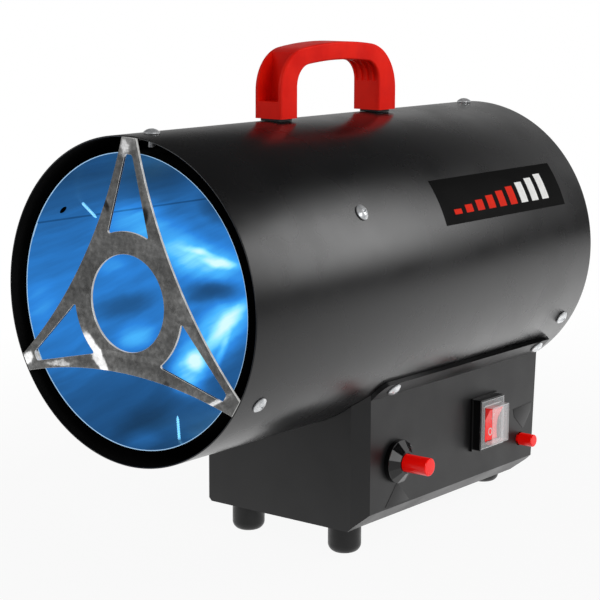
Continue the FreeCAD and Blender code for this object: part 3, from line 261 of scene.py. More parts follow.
def starSteel():
    # laser cut sheet steel, mill finish: finely mottled grey with dark blots, painted highlight patches and a
    # painted white glow where it is brightest
    material, shader = newMaterial("starSteel", "#a5a4a1", 0.3, 0.75)
    place = tubeCoordinates(material)
    fineShare = 0.62
    fine = noiseAt(material, 3.2, 8.0, place, Roughness=0.68)
    broad = noiseAt(material, 26, 3.0, place)
    total = addMath(material, "MULTIPLY_ADD", broad, 1 - fineShare, addMath(material, "MULTIPLY", fine, fineShare))
    swirl = warped(material, place, 9, 7)
    flat = addNode(material, "ShaderNodeCombineXYZ", links={"X": parted(material, swirl, "X"),
                                                            "Y": parted(material, swirl, "Z")})
    for mark in starBlotsAndHighlights:
        total = addSpot(material, total, flat.outputs["Vector"], **mark)
    connect(material, toneRamp(material, total, starTones), shader, "Base Color")
    # painted highlight: where the pattern is brightest the steel gives off white light
    shader.inputs["Emission Color"].default_value = linear("#ffffff")
    connect(material, spread(material, total, (0.7, 1.1), (0.0, 0.6)), shader, "Emission Strength")
    driftRoughness(material, shader, 0.22, 0.42, 5, 6.0)
    grainBump(material, shader, 14, 0.2, 0.25)
    return material


def paintedGlowSteel(name, color, roughness, metallic, glow, strength, drift):
    # bare steel with painted light: a glow of its own stands in for light which isn't in the scene
    material, shader = newMaterial(name, color, roughness, metallic)
    shader.inputs["Emission Color"].default_value = linear(glow)
    shader.inputs["Emission Strength"].default_value = strength
    driftRoughness(material, shader, *drift)
    return material, shader


def edgeHighlightSteel():
    # the star's cut edges are bare steel with a painted highlight: they glow pale grey
    material, shader = paintedGlowSteel("edgeHighlightSteel", "#e4e4e2", 0.35, 0.3, "#d8d8d6", 0.45, (0.25, 0.45, 3))
    driftColor(material, shader, "#9c9b99", "#f2f2f0", 5)
    return material


def rimGlowSteel():
    # painted glow: the liner's cut front rim is given light of its own for the burner's light
    return paintedGlowSteel("rimGlowSteel", "#a9c6e0", 0.35, 0.3, "#8fbfe6", 0.55, (0.3, 0.45, 5))[0]


def threadGlowZinc():
    # zinc plated thread close to the flame, with the blue light it would mirror painted on as a glow
    return paintedGlowSteel("threadGlowZinc", "#cfe2f2", 0.25, 0.6, "#6fc8f6", 0.85, (0.2, 0.35, 3))[0]


def burnerGlowPaintedSteel():
    # rolled steel with the burner's blue light painted on as a glow over a dark navy base: one level of painted
    # light over the unrolled sheet, from navy through azure to white, with soft streaks that run along the tube
    material, shader = newMaterial("burnerGlowPaintedSteel", "#0a1626", 0.3, 0.6)
    parts = addNode(material, "ShaderNodeSeparateXYZ", links={"Vector": tubeCoordinates(material)}).outputs
    back = addMath(material, "MULTIPLY", parts["X"], -1.0)
    angle = addMath(material, "ARCTAN2", parts["Z"], back)
    radius = liner["radius"] / 1000
    arc = addMath(material, "MULTIPLY", angle, radius)
    flat = addNode(material, "ShaderNodeCombineXYZ", links={"X": arc, "Y": parts["Y"]})
    place = warped(material, flat.outputs["Vector"], 36, liner["warp"])
    half = liner["glowLevels"][-1][0]
    across = spread(material, parted(material, place, "X"), (-half / 1000, half / 1000))
    total = toneRamp(material, across, [((s + half) / (2 * half), value) for s, value in liner["glowLevels"]])
    for spot in liner["glowSpots"]:
        total = addSpot(material, total, place, **spot)
    stretch = (perMetre(7), perMetre(70), 0.0)
    along = vectorMath(material, "MULTIPLY", turnedBy(material, place, 12), stretch)
    glowStreaks = spread(material, noiseAt(material, 1000, place=along), (0.3, 0.7), (0.92, 1.08))
    level = addMath(material, "MULTIPLY", total, glowStreaks)
    connect(material, toneRamp(material, level, liner["tones"]), shader, "Emission Color")
    # the painted glow is dimmer along the lap seam
    seam = addMath(material, "SUBTRACT", arc, math.radians(180 - liner["seamAngle"]) * radius)
    line = spread(material, addMath(material, "ABSOLUTE", seam), (0.0002, 0.0006), (0.55, 1.0))
    connect(material, line, shader, "Emission Strength")
    driftRoughness(material, shader, 0.26, 0.4, 30)
    return material


def mouldedCharcoal():
    # injection moulded ABS with a fine spark texture: dark grey, soft sheen
    material, shader = newMaterial("mouldedCharcoal", "#111112", 0.42, Specular_IOR_Level=0.36)
    driftColor(material, shader, "#0f0f10", "#141415", 45)
    driftRoughness(material, shader, 0.38, 0.48, 25)
    grainBump(material, shader, 0.7, 0.03, 0.35)
    return material


def redPolypropylene():
    # moulded polypropylene: saturated red, waxy sheen with flow marks
    material, shader = newMaterial("redPolypropylene", "#f01c0e", 0.45, Specular_IOR_Level=0.14)
    driftColor(material, shader, "#e61508", "#f8210f", 22)
    driftRoughness(material, shader, 0.38, 0.52, 12)
    grainBump(material, shader, 3.5, 0.05, 0.3)
    return material


def redButtonPaintedGlow():
    # glossy dyed ABS, with a painted red glow of its own for light bounced onto it
    material, shader = newMaterial("redButtonPaintedGlow", "#fb1408", 0.22, Specular_IOR_Level=0.3)
    driftColor(material, shader, "#f80c05", "#ff1208", 6)
    shader.inputs["Emission Color"].default_value = linear("#ff0804")
    shader.inputs["Emission Strength"].default_value = 0.2
    driftRoughness(material, shader, 0.18, 0.28, 4)
    return material


def blackNylon():
    # polished black nylon: deep black with sharp highlights
    material, shader = newMaterial("blackNylon", "#060607", 0.16, Specular_IOR_Level=0.35)
    driftRoughness(material, shader, 0.12, 0.22, 8)
    return material


def zincPlate():
    # bright zinc plated steel: pale, faintly blue, with small handling marks
    material, shader = newMaterial("zincPlate", "#e2e4e6", 0.3, 0.55)
    driftColor(material, shader, "#c6c9cc", "#f2f3f4", 2.5)
    driftRoughness(material, shader, 0.24, 0.4, 1.5)
    return material


def plainMaterial(name, color, pale, roughness, metallic, size, specular=0.5):
    material, shader = newMaterial(name, color, roughness, metallic, Specular_IOR_Level=specular)
    driftColor(material, shader, color, pale, size)
    driftRoughness(material, shader, roughness * 0.85, roughness * 1.2, size)
    return material


def blackVinyl():
    # printed vinyl label: flat deep black with little sheen
    material, shader = newMaterial("blackVinyl", "#040404", 0.5, Specular_IOR_Level=0.03)
    driftRoughness(material, shader, 0.4, 0.5, 30)
    return material


def clearAcrylic(name, least, most):
    # thin clear moulding: clear from straight on, milky white where it is seen at a slant, a painted reflection
    material, shader = newMaterial(name, "#f4f7f8", 0.06, Specular_IOR_Level=0.6)
    facing = addNode(material, "ShaderNodeLayerWeight", {"Blend": 0.5}).outputs["Facing"]
    connect(material, spread(material, facing, (0.22, 0.6), (least, most)), shader, "Alpha")
    return material


def blackRubber():
    # moulded rubber: near black, soft sheen
    material, shader = newMaterial("blackRubber", "#0b0b0c", 0.42, Specular_IOR_Level=0.3)
    driftRoughness(material, shader, 0.36, 0.5, 6)
    grainBump(material, shader, 1.0, 0.03, 0.3)
    return material


liner = {
    "radius": 82.2, "wall": 0.6, "front": 4.0, "length": 200.0,
    "seamAngle": 152.5, "seamLap": 9.0, "holeAngle": 148.0, "holeY": 22.0, "holeRadius": 2.6,
    "warp": 7.0,
    # painted light from the burner: the glow's tones, its levels across the unrolled sheet and its soft spots
    "tones": [(0.0, "#0a1420"), (0.18, "#173350"), (0.38, "#245b94"), (0.55, "#2f86de"), (0.7, "#4ab6ff"),
              (0.84, "#8fe9ff"), (1.0, "#d8fcff")],
    "glowLevels": [(-150, 0.16), (-112, 0.26), (-75, 0.34), (-40, 0.48), (-5, 0.5), (25, 0.45), (48, 0.38),
               (75, 0.22), (150, 0.12)],
    "glowSpots": [
        {"at": (-50, 158), "turn": 25, "size": (78, 24), "gain": 0.3},
        {"at": (-46, 168), "turn": 22, "size": (44, 8), "gain": 0.3},
        {"at": (-66, 146), "turn": 34, "size": (34, 4), "gain": 0.16},
        {"at": (-69, 115), "turn": 30, "size": (40, 21), "gain": 0.34},
        {"at": (-67, 121), "turn": 30, "size": (14, 9), "gain": 0.26},
        {"at": (-84, 100), "turn": 20, "size": (26, 24), "gain": 0.16},
        {"at": (-5, 162), "turn": -14, "size": (60, 20), "gain": 0.26},
        {"at": (-7, 174), "turn": -14, "size": (30, 5), "gain": 0.3},
        {"at": (2, 156), "turn": -16, "size": (34, 3.5), "gain": 0.16},
        {"at": (12, 126), "turn": -22, "size": (54, 22), "gain": 0.18},
        {"at": (32, 86), "turn": -10, "size": (48, 24), "gain": 0.2},
        {"at": (-25, 166), "turn": -6, "size": (48, 12), "gain": -0.22},
        {"at": (32, 168), "turn": -24, "size": (40, 16), "gain": -0.18},
        {"at": (-42, 84), "turn": 8, "size": (30, 14), "gain": 0.2},
        {"at": (-22, 82), "turn": 0, "size": (56, 13), "gain": -0.12},
        {"at": (4, 74), "turn": -10, "size": (26, 12), "gain": 0.1},
        {"at": (-100, 45), "turn": 20, "size": (60, 18), "gain": -0.1},
        {"at": (-122, 20), "turn": 30, "size": (30, 14), "gain": 0.12},
        {"at": (62, 96), "turn": -15, "size": (60, 22), "gain": -0.1},
        {"at": (-12, 14), "turn": 0, "size": (22, 26), "gain": 0.06},
    ],
}

materials = {
    "powder": powderCoatSteel(),
    "shadePaint": shadePaintedSteel(),
    "star": starSteel(),
    "edgeHighlight": edgeHighlightSteel(),
    "rimGlow": rimGlowSteel(),
    "threadGlowZinc": threadGlowZinc(),
    "liner": burnerGlowPaintedSteel(),
    "charcoal": mouldedCharcoal(),
    "red": redPolypropylene(),
    "redButton": redButtonPaintedGlow(),
    "nylon": blackNylon(),
    "zinc": zincPlate(),
    "clear": clearAcrylic("clearAcrylic", 0.03, 0.4),
    # the cap's rounded edges are whiter still: painted highlights
    "clearEdge": clearAcrylic("clearAcrylicEdge", 0.35, 0.8),
    "rubber": blackRubber(),
    "enamel": plainMaterial("blackEnamelWire", "#141414", "#1c1c1c", 0.35, 0.0, 8),
    "spring": plainMaterial("springSteelWire", "#a8a9aa", "#c4c5c6", 0.3, 1.0, 3),
    "brass": plainMaterial("turnedBrass", "#b48a3f", "#cda857", 0.28, 1.0, 6),
    "ceramic": plainMaterial("glazedCeramic", "#e8e4da", "#f2efe8", 0.12, 0.0, 5),
    "probe": plainMaterial("stainlessWire", "#8d8a85", "#a5a29d", 0.35, 1.0, 4),
    "core": plainMaterial("laminatedCoreSteel", "#6a6c70", "#85878b", 0.4, 1.0, 3),
    "copper": plainMaterial("enamelledCopper", "#a85a2c", "#c87840", 0.3, 1.0, 1.5),
    "bronze": plainMaterial("sinteredBronze", "#8f6d3e", "#a5814d", 0.45, 1.0, 1.0),
    "fan": plainMaterial("pressedAluminium", "#b9bbbf", "#d0d2d5", 0.35, 1.0, 20),
    "white": plainMaterial("whitePrint", "#e9e9e6", "#f4f4f2", 0.5, 0.0, 3, 0.1),
    "gloss": blackVinyl(),
    "redPrint": plainMaterial("redPrint", "#d5220f", "#e22c16", 0.5, 0.0, 8, 0.1),
}

slotMaterial = {
    "tube_paint": "powder", "heated_steel": "liner", "grille_steel": "star", "zinc": "zinc",
    "black_wire": "enamel", "base_plastic": "charcoal", "handle_plastic": "red", "control_black": "nylon",
    "red_plastic": "redButton", "clear_plastic": "clear", "spring_steel": "spring", "brass": "brass",
    "white_ceramic": "ceramic", "probe_steel": "probe", "lead_rubber": "rubber", "core_steel": "core",
    "copper": "copper", "bearing_bronze": "bronze", "fan_aluminium": "fan", "foot_rubber": "rubber",
}
for node, thing in frame["nodes"].items():
    thing.data.materials.clear()
    thing.data.materials.append(materials[slotMaterial[nodeSlot[node]]])
print("materials made:", len(materials))


# Making pieces
def linked(name, data):
    thing = bpy.data.objects.new(name, data)
    bpy.context.scene.collection.objects.link(thing)
    return thing


def addModifier(piece, name, kind, **settings):
    modifier = piece.modifiers.new(name, kind)
    for key, value in settings.items():
        setattr(modifier, key, value)
    return modifier


def inTube(point):
    # a place in the tube's own frame, in millimetres
    return tubeFrame.inverted() @ point * 1000


def fullTurn(steps):
    return [2 * math.pi * i / steps for i in range(steps)]


def smoothByAngle(mesh, degrees):
    work = bmesh.new()
    work.from_mesh(mesh)
    for face in work.faces:
        face.smooth = True
    for edge in work.edges:
        edge.smooth = len(edge.link_faces) != 2 or edge.calc_face_angle() < math.radians(degrees)
    work.to_mesh(mesh)
    work.free()


def addPiece(name, mesh, materialName, body, replaced=(), angle=30):
    piece = linked(name, mesh)
    if not mesh.materials:
        mesh.materials.append(materials[materialName])
    if angle:
        smoothByAngle(mesh, angle)
    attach(piece, body)
    if replaced:
        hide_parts(*replaced)
    return piece


def meshFrom(work, name, place=millimetres, outward=True):
    bmesh.ops.remove_doubles(work, verts=work.verts, dist=1e-6)
    if outward:
        bmesh.ops.recalc_face_normals(work, faces=work.faces)
    mesh = bpy.data.meshes.new(name)
    work.to_mesh(mesh)
    work.free()
    mesh.transform(place)
    return mesh


def evaluatedMesh(thing):
    return bpy.data.meshes.new_from_object(thing.evaluated_get(bpy.context.evaluated_depsgraph_get()))


def applied(piece):
    # the piece's modifiers turned into plain mesh
    mesh = evaluatedMesh(piece)
    piece.modifiers.clear()
    old = piece.data
    piece.data = mesh
    if old.users == 0:
        bpy.data.meshes.remove(old)
    return piece


def cutOut(piece, name, mesh, **settings):
    drill = linked(name, mesh)
    addModifier(piece, name, "BOOLEAN", object=drill, solver="EXACT", **settings)
    applied(piece)
    bpy.data.objects.remove(drill)


def joinRows(work, rows, closed):
    # faces between rows of points that stand in a circle; closed where each row is a closed outline
    for i, here in enumerate(rows):
        there = rows[(i + 1) % len(rows)]
        for j in range(len(here) if closed else len(here) - 1):
            k = (j + 1) % len(here)
            work.faces.new((here[j], here[k], there[k], there[j]))


def closeBetween(work, first, second):
    # a solid between two outlines with as many points
    for i in range(len(first)):
        k = (i + 1) % len(first)
        work.faces.new((first[i], first[k], second[k], second[i]))
    work.faces.new(first)
    work.faces.new(list(reversed(second)))


def revolve(work, outline, steps=160):
    # a closed outline of (radius, y) turned about the tube's axis
    joinRows(work, [[work.verts.new((r * math.cos(a), y, r * math.sin(a))) for r, y in outline]
                    for a in fullTurn(steps)], True)


def sheetWall(inner, outer, y0, y1):
    # outline of a rolled sheet with both rims rounded
    middle, half = (inner + outer) / 2, (outer - inner) / 2
    outline = []
    for y, turn in ((y0 + half, 180), (y1 - half, 0)):
        for i in range(7):
            a = math.radians(turn + 180 * i / 6)
            outline.append((middle + half * math.cos(a), y + half * math.sin(a)))
    return outline


def unitedCopy(node, others):
    # nodes that meet face to face, welded into one shell
    piece = linked("united", frame["nodes"][node].data.copy())
    for other in others:
        addModifier(piece, other, "BOOLEAN", object=frame["nodes"][other], operation="UNION", solver="EXACT")
    return applied(piece)


rounding = {"segments": 3, "from": 28, "weld": 2e-6}


def dressedCopy(node, name, materialName, bevel=0.0, angle=30, flat=1.0, edgeName=None, joined=()):
    # a CAD node's own shape with merged faces, rounded edges and smooth shading
    source = unitedCopy(node, joined) if joined else frame["nodes"][node]
    work = bmesh.new()
    work.from_mesh(source.data)
    if joined:
        bpy.data.objects.remove(source)
    bmesh.ops.remove_doubles(work, verts=work.verts, dist=rounding["weld"])
    bmesh.ops.dissolve_limit(work, angle_limit=math.radians(flat), verts=work.verts, edges=work.edges)
    mesh = bpy.data.meshes.new(name)
    work.to_mesh(mesh)
    work.free()
    piece = addPiece(name, mesh, materialName, nodeBody[node], [node, *joined], 0)
    if bevel:
        if edgeName:
            mesh.materials.append(materials[edgeName])
        addModifier(piece, "rounded", "BEVEL", width=bevel / 1000, segments=rounding["segments"],
                    limit_method="ANGLE", angle_limit=math.radians(rounding["from"]), use_clamp_overlap=True,
                    material=1 if edgeName else -1)
        applied(piece)
    smoothByAngle(piece.data, angle)
    if bevel:
        addModifier(piece, "weighted", "WEIGHTED_NORMAL", keep_sharp=True)
        applied(piece)
    return piece


# Tube
shell = {"sheet": 0.8, "innerFace": 0.7, "steps": 240}


def makeShell():
    work = bmesh.new()
    revolve(work, sheetWall(tubeRadius - shell["sheet"], tubeRadius, 0, tubeLength), shell["steps"])
    mesh = meshFrom(work, "tubeShell")
    mesh.materials.append(materials["powder"])
    mesh.materials.append(materials["shadePaint"])
    # the shell's inner face gets the painted shade
    for face in mesh.polygons:
        place = inTube(face.center)
        face.material_index = 1 if math.hypot(place.x, place.z) < tubeRadius - shell["innerFace"] else 0
    addPiece("tubeShell", mesh, "powder", "housing", ["outer_shell"], 50)


# Liner: a rolled sheet with a lapped seam and a sight hole
def addLap(work, end, steps=6):
    lap = math.degrees(liner["seamLap"] / liner["radius"])
    inner, outer = liner["radius"] - liner["wall"], liner["radius"] + 0.02
    corners = ((inner, liner["front"]), (inner, end), (outer, end), (outer, liner["front"]))
    rows = [[work.verts.new(polar(liner["seamAngle"] + lap * i / steps, r, y)) for r, y in corners]
            for i in range(steps + 1)]
    for here, there in zip(rows, rows[1:]):
        for j in range(4):
            k = (j + 1) % 4
            work.faces.new((here[j], here[k], there[k], there[j]))
    work.faces.new(rows[0])
    work.faces.new(rows[-1])


def makeLiner():
    work = bmesh.new()
    end = liner["front"] + liner["length"]
    revolve(work, sheetWall(liner["radius"], liner["radius"] + liner["wall"], liner["front"], end), 200)
    addLap(work, end)
    mesh = meshFrom(work, "linerSkin")
    piece = addPiece("linerSkin", mesh, "liner", "housing", ["combustion_liner"], 0)
    cutter = bmesh.new()
    seat = polar(liner["holeAngle"], liner["radius"], liner["holeY"])
    outward = polar(liner["holeAngle"], 1, 0)
    turn = Vector((0, 0, 1)).rotation_difference(outward).to_matrix().to_4x4()
    bmesh.ops.create_cone(cutter, cap_ends=True, segments=24, radius1=liner["holeRadius"],
                          radius2=liner["holeRadius"], depth=6, matrix=Matrix.Translation(seat) @ turn)
    cutOut(piece, "sightHole", meshFrom(cutter, "sightHole"))
    piece.data.materials.append(materials["shadePaint"])
    piece.data.materials.append(materials["rimGlow"])
    for face in piece.data.polygons:
        place = inTube(face.center)
        # the liner's outer face, in the gap to the shell: painted shade
        if math.hypot(place.x, place.z) > liner["radius"] + liner["wall"] * 0.8:
            face.material_index = 1
        # the cut front rim: painted glow
        elif place.y < liner["front"] + liner["wall"] * 0.45:
            face.material_index = 2
    smoothByAngle(piece.data, 50)


# Front star: flat sheet with a ring hole, three windows and tabs bent back along the shell
star = {
    "turn": -1.7, "reach": 91.0, "sheet": 1.5, "endHalf": 5.2, "waist": 39.5, "ring": 27.2,
    "windowFoot": 39.8, "windowFootHalf": 15.4, "windowApex": 82.0, "windowApexHalf": 2.6,
    "corner": 2.0, "tabLength": 27.0, "tabWidth": 10.0, "bend": 1.6, "edge": 0.18, "edgeFace": 4e-5,
}


def starAngles():
    return [90 + star["turn"] + 120 * i for i in range(3)]


def starPoint(angle, radius, offset):
    a = math.radians(angle)
    return Vector((radius * math.cos(a) - offset * math.sin(a), radius * math.sin(a) + offset * math.cos(a)))


def arcThrough(a, b, c, steps):
    # points on the circle through three points, from a to c
    d = 2 * (a.x * (b.y - c.y) + b.x * (c.y - a.y) + c.x * (a.y - b.y))
    aa, bb, cc = a.length_squared, b.length_squared, c.length_squared
    centre = Vector(((aa * (b.y - c.y) + bb * (c.y - a.y) + cc * (a.y - b.y)) / d,
                     (aa * (c.x - b.x) + bb * (a.x - c.x) + cc * (b.x - a.x)) / d))
    first, last = a - centre, c - centre
    sweep = math.atan2(first.cross(last), first.dot(last))
    return [centre + Matrix.Rotation(sweep * i / steps, 2) @ first for i in range(steps + 1)]


def roundCorners(points, corners, radius, steps=5):
    # the listed corners of a closed outline replaced by arcs
    out = []
    for i, point in enumerate(points):
        if i not in corners:
            out.append(point)
            continue
        back, ahead = points[i - 1] - point, points[(i + 1) % len(points)] - point
        angle = back.angle(ahead)
        reach = min(radius / math.tan(angle / 2), 0.9 * back.length, 0.9 * ahead.length)
        start, end = point + back.normalized() * reach, point + ahead.normalized() * reach
        inwards = (back.normalized() + ahead.normalized()).normalized()
        bulge = point + inwards * (reach / math.cos(angle / 2) - reach * math.tan(angle / 2))
        out += arcThrough(start, bulge, end, steps)
    return out


def starWindow(angle):
    half = star["windowFootHalf"]
    foot = math.sqrt(star["windowFoot"] ** 2 - half ** 2)
    arc = arcThrough(starPoint(angle, foot, -half), starPoint(angle, star["windowFoot"], 0),
                     starPoint(angle, foot, half), 14)
    apex = [starPoint(angle, star["windowApex"], side * star["windowApexHalf"]) for side in (1, -1)]
    count = len(arc)
    return roundCorners(arc + apex, {0, count - 1, count, count + 1}, star["corner"])


def starPlate():
    outline = []
    for angle in starAngles():
        p, q = (starPoint(angle, star["reach"], side * star["endHalf"]) for side in (-1, 1))
        r = starPoint(angle + 120, star["reach"], -star["endHalf"])
        outline += [p] + arcThrough(q, starPoint(angle + 60, star["waist"], 0), r, 30)[:-1]
    ring = [Vector((star["ring"] * math.cos(a), star["ring"] * math.sin(a))) for a in fullTurn(72)]
    flat = bpy.data.curves.new("starOutline", "CURVE")
    flat.dimensions = "2D"
    flat.fill_mode = "BOTH"
    flat.extrude = star["sheet"] / 2 - star["edge"]
    flat.bevel_depth = star["edge"]
    flat.bevel_resolution = 2
    flat.offset = -star["edge"]
    for loop in [outline, ring] + [starWindow(angle) for angle in starAngles()]:
        spline = flat.splines.new("POLY")
        spline.points.add(len(loop) - 1)
        spline.use_cyclic_u = True
        for target, point in zip(spline.points, loop):
            target.co = (point.x, point.y, 0, 1)
    holder = linked("starOutline", flat)
    bpy.context.view_layer.update()
    plate = evaluatedMesh(holder)
    bpy.data.objects.remove(holder)
    plate.transform(Matrix(((1, 0, 0, 0), (0, 0, -1, star["sheet"] / 2), (0, 1, 0, 0), (0, 0, 0, 1))))
    return plate


def addStrip(work, angle, profile, half):
    # a strip with this profile of (radius, y), standing at an angle about the tube's axis
    sides = []
    for offset in (-half, half):
        points = [(starPoint(angle, radius, offset), y) for radius, y in profile]
        sides.append([work.verts.new((p.x, y, p.y)) for p, y in points])
    closeBetween(work, *sides)


def tabProfile():
    # it leaves the star's end, bends a quarter turn and runs back along the shell
    outer, sheet, bend = star["reach"], star["sheet"], star["bend"]
    turns = [math.radians(90 * i / 6) for i in range(7)]
    inner = max(bend - sheet, 0.1)
    profile = [(outer - bend + bend * math.sin(a), bend - bend * math.cos(a)) for a in turns]
    profile += [(outer, star["tabLength"]), (outer - sheet, star["tabLength"])]
    return profile + [(outer - bend + inner * math.sin(a), bend - inner * math.cos(a)) for a in reversed(turns)]


def makeStar():
    work = bmesh.new()
    work.from_mesh(starPlate())
    for angle in starAngles():
        addStrip(work, angle, tabProfile(), star["tabWidth"] / 2)
    mesh = meshFrom(work, "starGrille")
    mesh.materials.clear()
    mesh.materials.append(materials["star"])
    mesh.materials.append(materials["edgeHighlight"])
    along = tubeFrame.to_3x3() @ Vector((0, 1, 0))
    # the small upright faces of the cut edges get the painted highlight
    for face in mesh.polygons:
        upright = abs(face.normal.dot(along)) < 0.9
        face.material_index = 1 if upright and face.area < star["edgeFace"] else 0
    addPiece("starGrille", mesh, "star", "housing", ["front_grille"], 40)


# Screws: one head shape set on its seats by a node tree, each turned by its own amount
screw = {"shank": 2.0, "foot": 0.15, "footRise": 0.2, "recess": 1.45, "recessWidth": 0.6, "recessDepth": 1.2}
screwSets = {
    "grilleScrews": {"node": "grille_screws", "shank": 7.5, "angles": starAngles(), "along": [18.5], "seed": 3},
    "linerScrews": {"node": "liner_screws", "shank": 9.8, "angles": [30, 150, 270], "along": [107.4], "seed": 5},
    "guardScrews": {"node": "guard_screws", "shank": 12.0, "angles": [90, 210, 330], "along": [332.0], "seed": 8},
    "flangeScrews": {"node": "base_screws", "shank": 10.0, "angles": [-43.6, 223.6], "along": [156.5, 319.5],
                     "rise": 3.0, "seed": 2},
    "handleScrews": {"node": "handle_screws", "head": 4.0, "height": 2.4, "shank": 15.0, "angles": [90],
                     "along": [130.05, 229.0], "rise": 8.2, "seed": 1},
}


def screwShape(name, head, height, shankLength):
    work = bmesh.new()
    rim = 0.3 * height
    rise = height - rim
    dome = (head ** 2 + rise ** 2) / (2 * rise)
    half = math.asin(head / dome)
    outline = [(0.0, -shankLength), (screw["shank"], -shankLength), (screw["shank"], 0.0),
               (head - screw["foot"], 0.0), (head, screw["footRise"]), (head, rim)]
    for i in range(1, 9):
        a = half * (1 - i / 8)
        outline.append((dome * math.sin(a), height - dome + dome * math.cos(a)))
    joinRows(work, [[work.verts.new((r * math.cos(a), r * math.sin(a), z)) for r, z in outline]
                    for a in fullTurn(40)], False)
    piece = linked(name, meshFrom(work, name, Matrix()))
    cutter = bmesh.new()
    size = Matrix.Diagonal((2 * screw["recess"], screw["recessWidth"], 2 * screw["recessDepth"], 1))
    for turn in (0, 90):
        turned = Matrix.Translation((0, 0, height)) @ Matrix.Rotation(math.radians(turn), 4, "Z")
        bmesh.ops.create_cube(cutter, size=1, matrix=turned @ size)
    cutOut(piece, "crossRecess", meshFrom(cutter, "crossRecess", Matrix(), False), use_self=True)
    smoothByAngle(piece.data, 35)
    return piece


def nodeTree(name, inputs):
    tree = bpy.data.node_groups.new(name, "GeometryNodeTree")
    tree.interface.new_socket("Geometry", in_out="INPUT", socket_type="NodeSocketGeometry")
    for label, kind in inputs:
        tree.interface.new_socket(label, in_out="INPUT", socket_type=kind)
    tree.interface.new_socket("Geometry", in_out="OUTPUT", socket_type="NodeSocketGeometry")
    return tree, addNode(tree, "NodeGroupInput").outputs


def finishTree(tree, geometry, finish):
    # real geometry with the given material, sent to the tree's output
    real = addNode(tree, "GeometryNodeRealizeInstances", links={"Geometry": geometry})
    dressed = addNode(tree, "GeometryNodeSetMaterial", links={"Geometry": real.outputs["Geometry"],
                                                              "Material": finish})
    addNode(tree, "NodeGroupOutput", links={"Geometry": dressed.outputs["Geometry"]})
    return tree


def screwTree():
    tree, given = nodeTree("panHeadScrews", [("Screw", "NodeSocketObject"), ("Finish", "NodeSocketMaterial"),
                                             ("Turn Seed", "NodeSocketInt")])
    outward = addNode(tree, "GeometryNodeInputNamedAttribute", {"Name": "outward"}, data_type="FLOAT_VECTOR")
    stand = addNode(tree, "FunctionNodeAlignRotationToVector", links={"Vector": outward.outputs["Attribute"]},
                    axis="Z")
    turn = addNode(tree, "FunctionNodeRandomValue", {"Max": (0.0, 0.0, 6.28)}, {"Seed": given["Turn Seed"]},
                   data_type="FLOAT_VECTOR")
    spin = addNode(tree, "FunctionNodeEulerToRotation", links={"Euler": turn.outputs["Value"]})
    both = addNode(tree, "FunctionNodeRotateRotation", links={"Rotation": stand.outputs["Rotation"],
                                                              "Rotate By": spin.outputs["Rotation"]},
                   rotation_space="LOCAL")
    shape = addNode(tree, "GeometryNodeObjectInfo", links={"Object": given["Screw"]})
    place = addNode(tree, "GeometryNodeInstanceOnPoints", {"Scale": (0.001, 0.001, 0.001)},
                    {"Points": given["Geometry"], "Instance": shape.outputs["Geometry"],
                     "Rotation": both.outputs["Rotation"]})
    return finishTree(tree, place.outputs["Instances"], given["Finish"])


panHeadScrews = screwTree()


def grown(name, mesh, tree, inputs):
    # a piece whose mesh a node tree makes from these inputs
    piece = linked(name, mesh)
    modifier = addModifier(piece, "grown", "NODES", node_group=tree)
    for item in tree.interface.items_tree:
        if item.item_type == "SOCKET" and item.in_out == "INPUT" and item.name in inputs:
            modifier[item.identifier] = inputs[item.name]
    return applied(piece)


def seatScrews(name, seats, shape, replaced, seed):
    # seats are (place, outward way) in the tube's frame, in millimetres
    mesh = bpy.data.meshes.new(name)
    mesh.from_pydata([millimetres @ place for place, way in seats], [], [])
    ways = mesh.attributes.new("outward", "FLOAT_VECTOR", "POINT")
    for item, (place, way) in zip(ways.data, seats):
        item.vector = tubeFrame.to_3x3() @ way
    piece = grown(name, mesh, panHeadScrews, {"Screw": shape, "Finish": materials["zinc"], "Turn Seed": seed})
    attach(piece, "housing")
    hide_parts(replaced)


def makeScrews():
    for name, spec in screwSets.items():
        shape = screwShape(name + "Head", spec.get("head", 4.6), spec.get("height", 2.7), spec["shank"])
        radius = tubeRadius + spec.get("rise", 0.1)
        seats = [(polar(a, radius, y), polar(a, 1, 0)) for a in spec["angles"] for y in spec["along"]]
        seatScrews(name, seats, shape, spec["node"], spec["seed"])
        bpy.data.objects.remove(shape)


# Threaded tails that reach into the liner near its front
tails = {"places": [(145.5, 35.5), (275.0, 34.0)], "length": 14.0, "core": 0.5, "crest": 0.95, "pitch": 1.0}


def makeTails():
    work = bmesh.new()
    length, pitch = tails["length"], tails["pitch"]
    turns = int(length / pitch)
    outline = [(0.0, 0.0)]
    for i in range(turns):
        fade = min(1.0, (turns - i) / 3)
        outline += [(tails["core"] * fade, i * pitch), (tails["crest"] * fade, (i + 0.5) * pitch)]
    outline.append((0.0, length))
    for angle, y in tails["places"]:
        root, way = polar(angle, liner["radius"] + 0.3, y), -polar(angle, 1, 0)
        seat = Matrix.Translation(root) @ Vector((0, 0, 1)).rotation_difference(way).to_matrix().to_4x4()
        rows = []
        for a in fullTurn(20):
            climb = pitch * a / (2 * math.pi)
            points = [(r, z + climb if 0 < z < length - pitch else z) for r, z in outline]
            rows.append([work.verts.new(seat @ Vector((r * math.cos(a), r * math.sin(a), z))) for r, z in points])
        joinRows(work, rows, False)
    # the tails carry the painted blue glow
    addPiece("linerTails", meshFrom(work, "linerTails"), "threadGlowZinc", "housing", (), 40)


# Label on the tube: bare gloss vinyl with a plain row of rising bars, angles in degrees about the tube
label = {"y0": 183.7, "y1": 320.5, "low": 19.7, "high": 38.0, "lift": 0.03, "sheet": 0.12, "ink": 0.03,
         "bars": 9, "redBars": 6, "margin": 12, "barShare": 0.62, "barFoot": 3.6, "lowTop": 4.5, "highTop": 4.0}


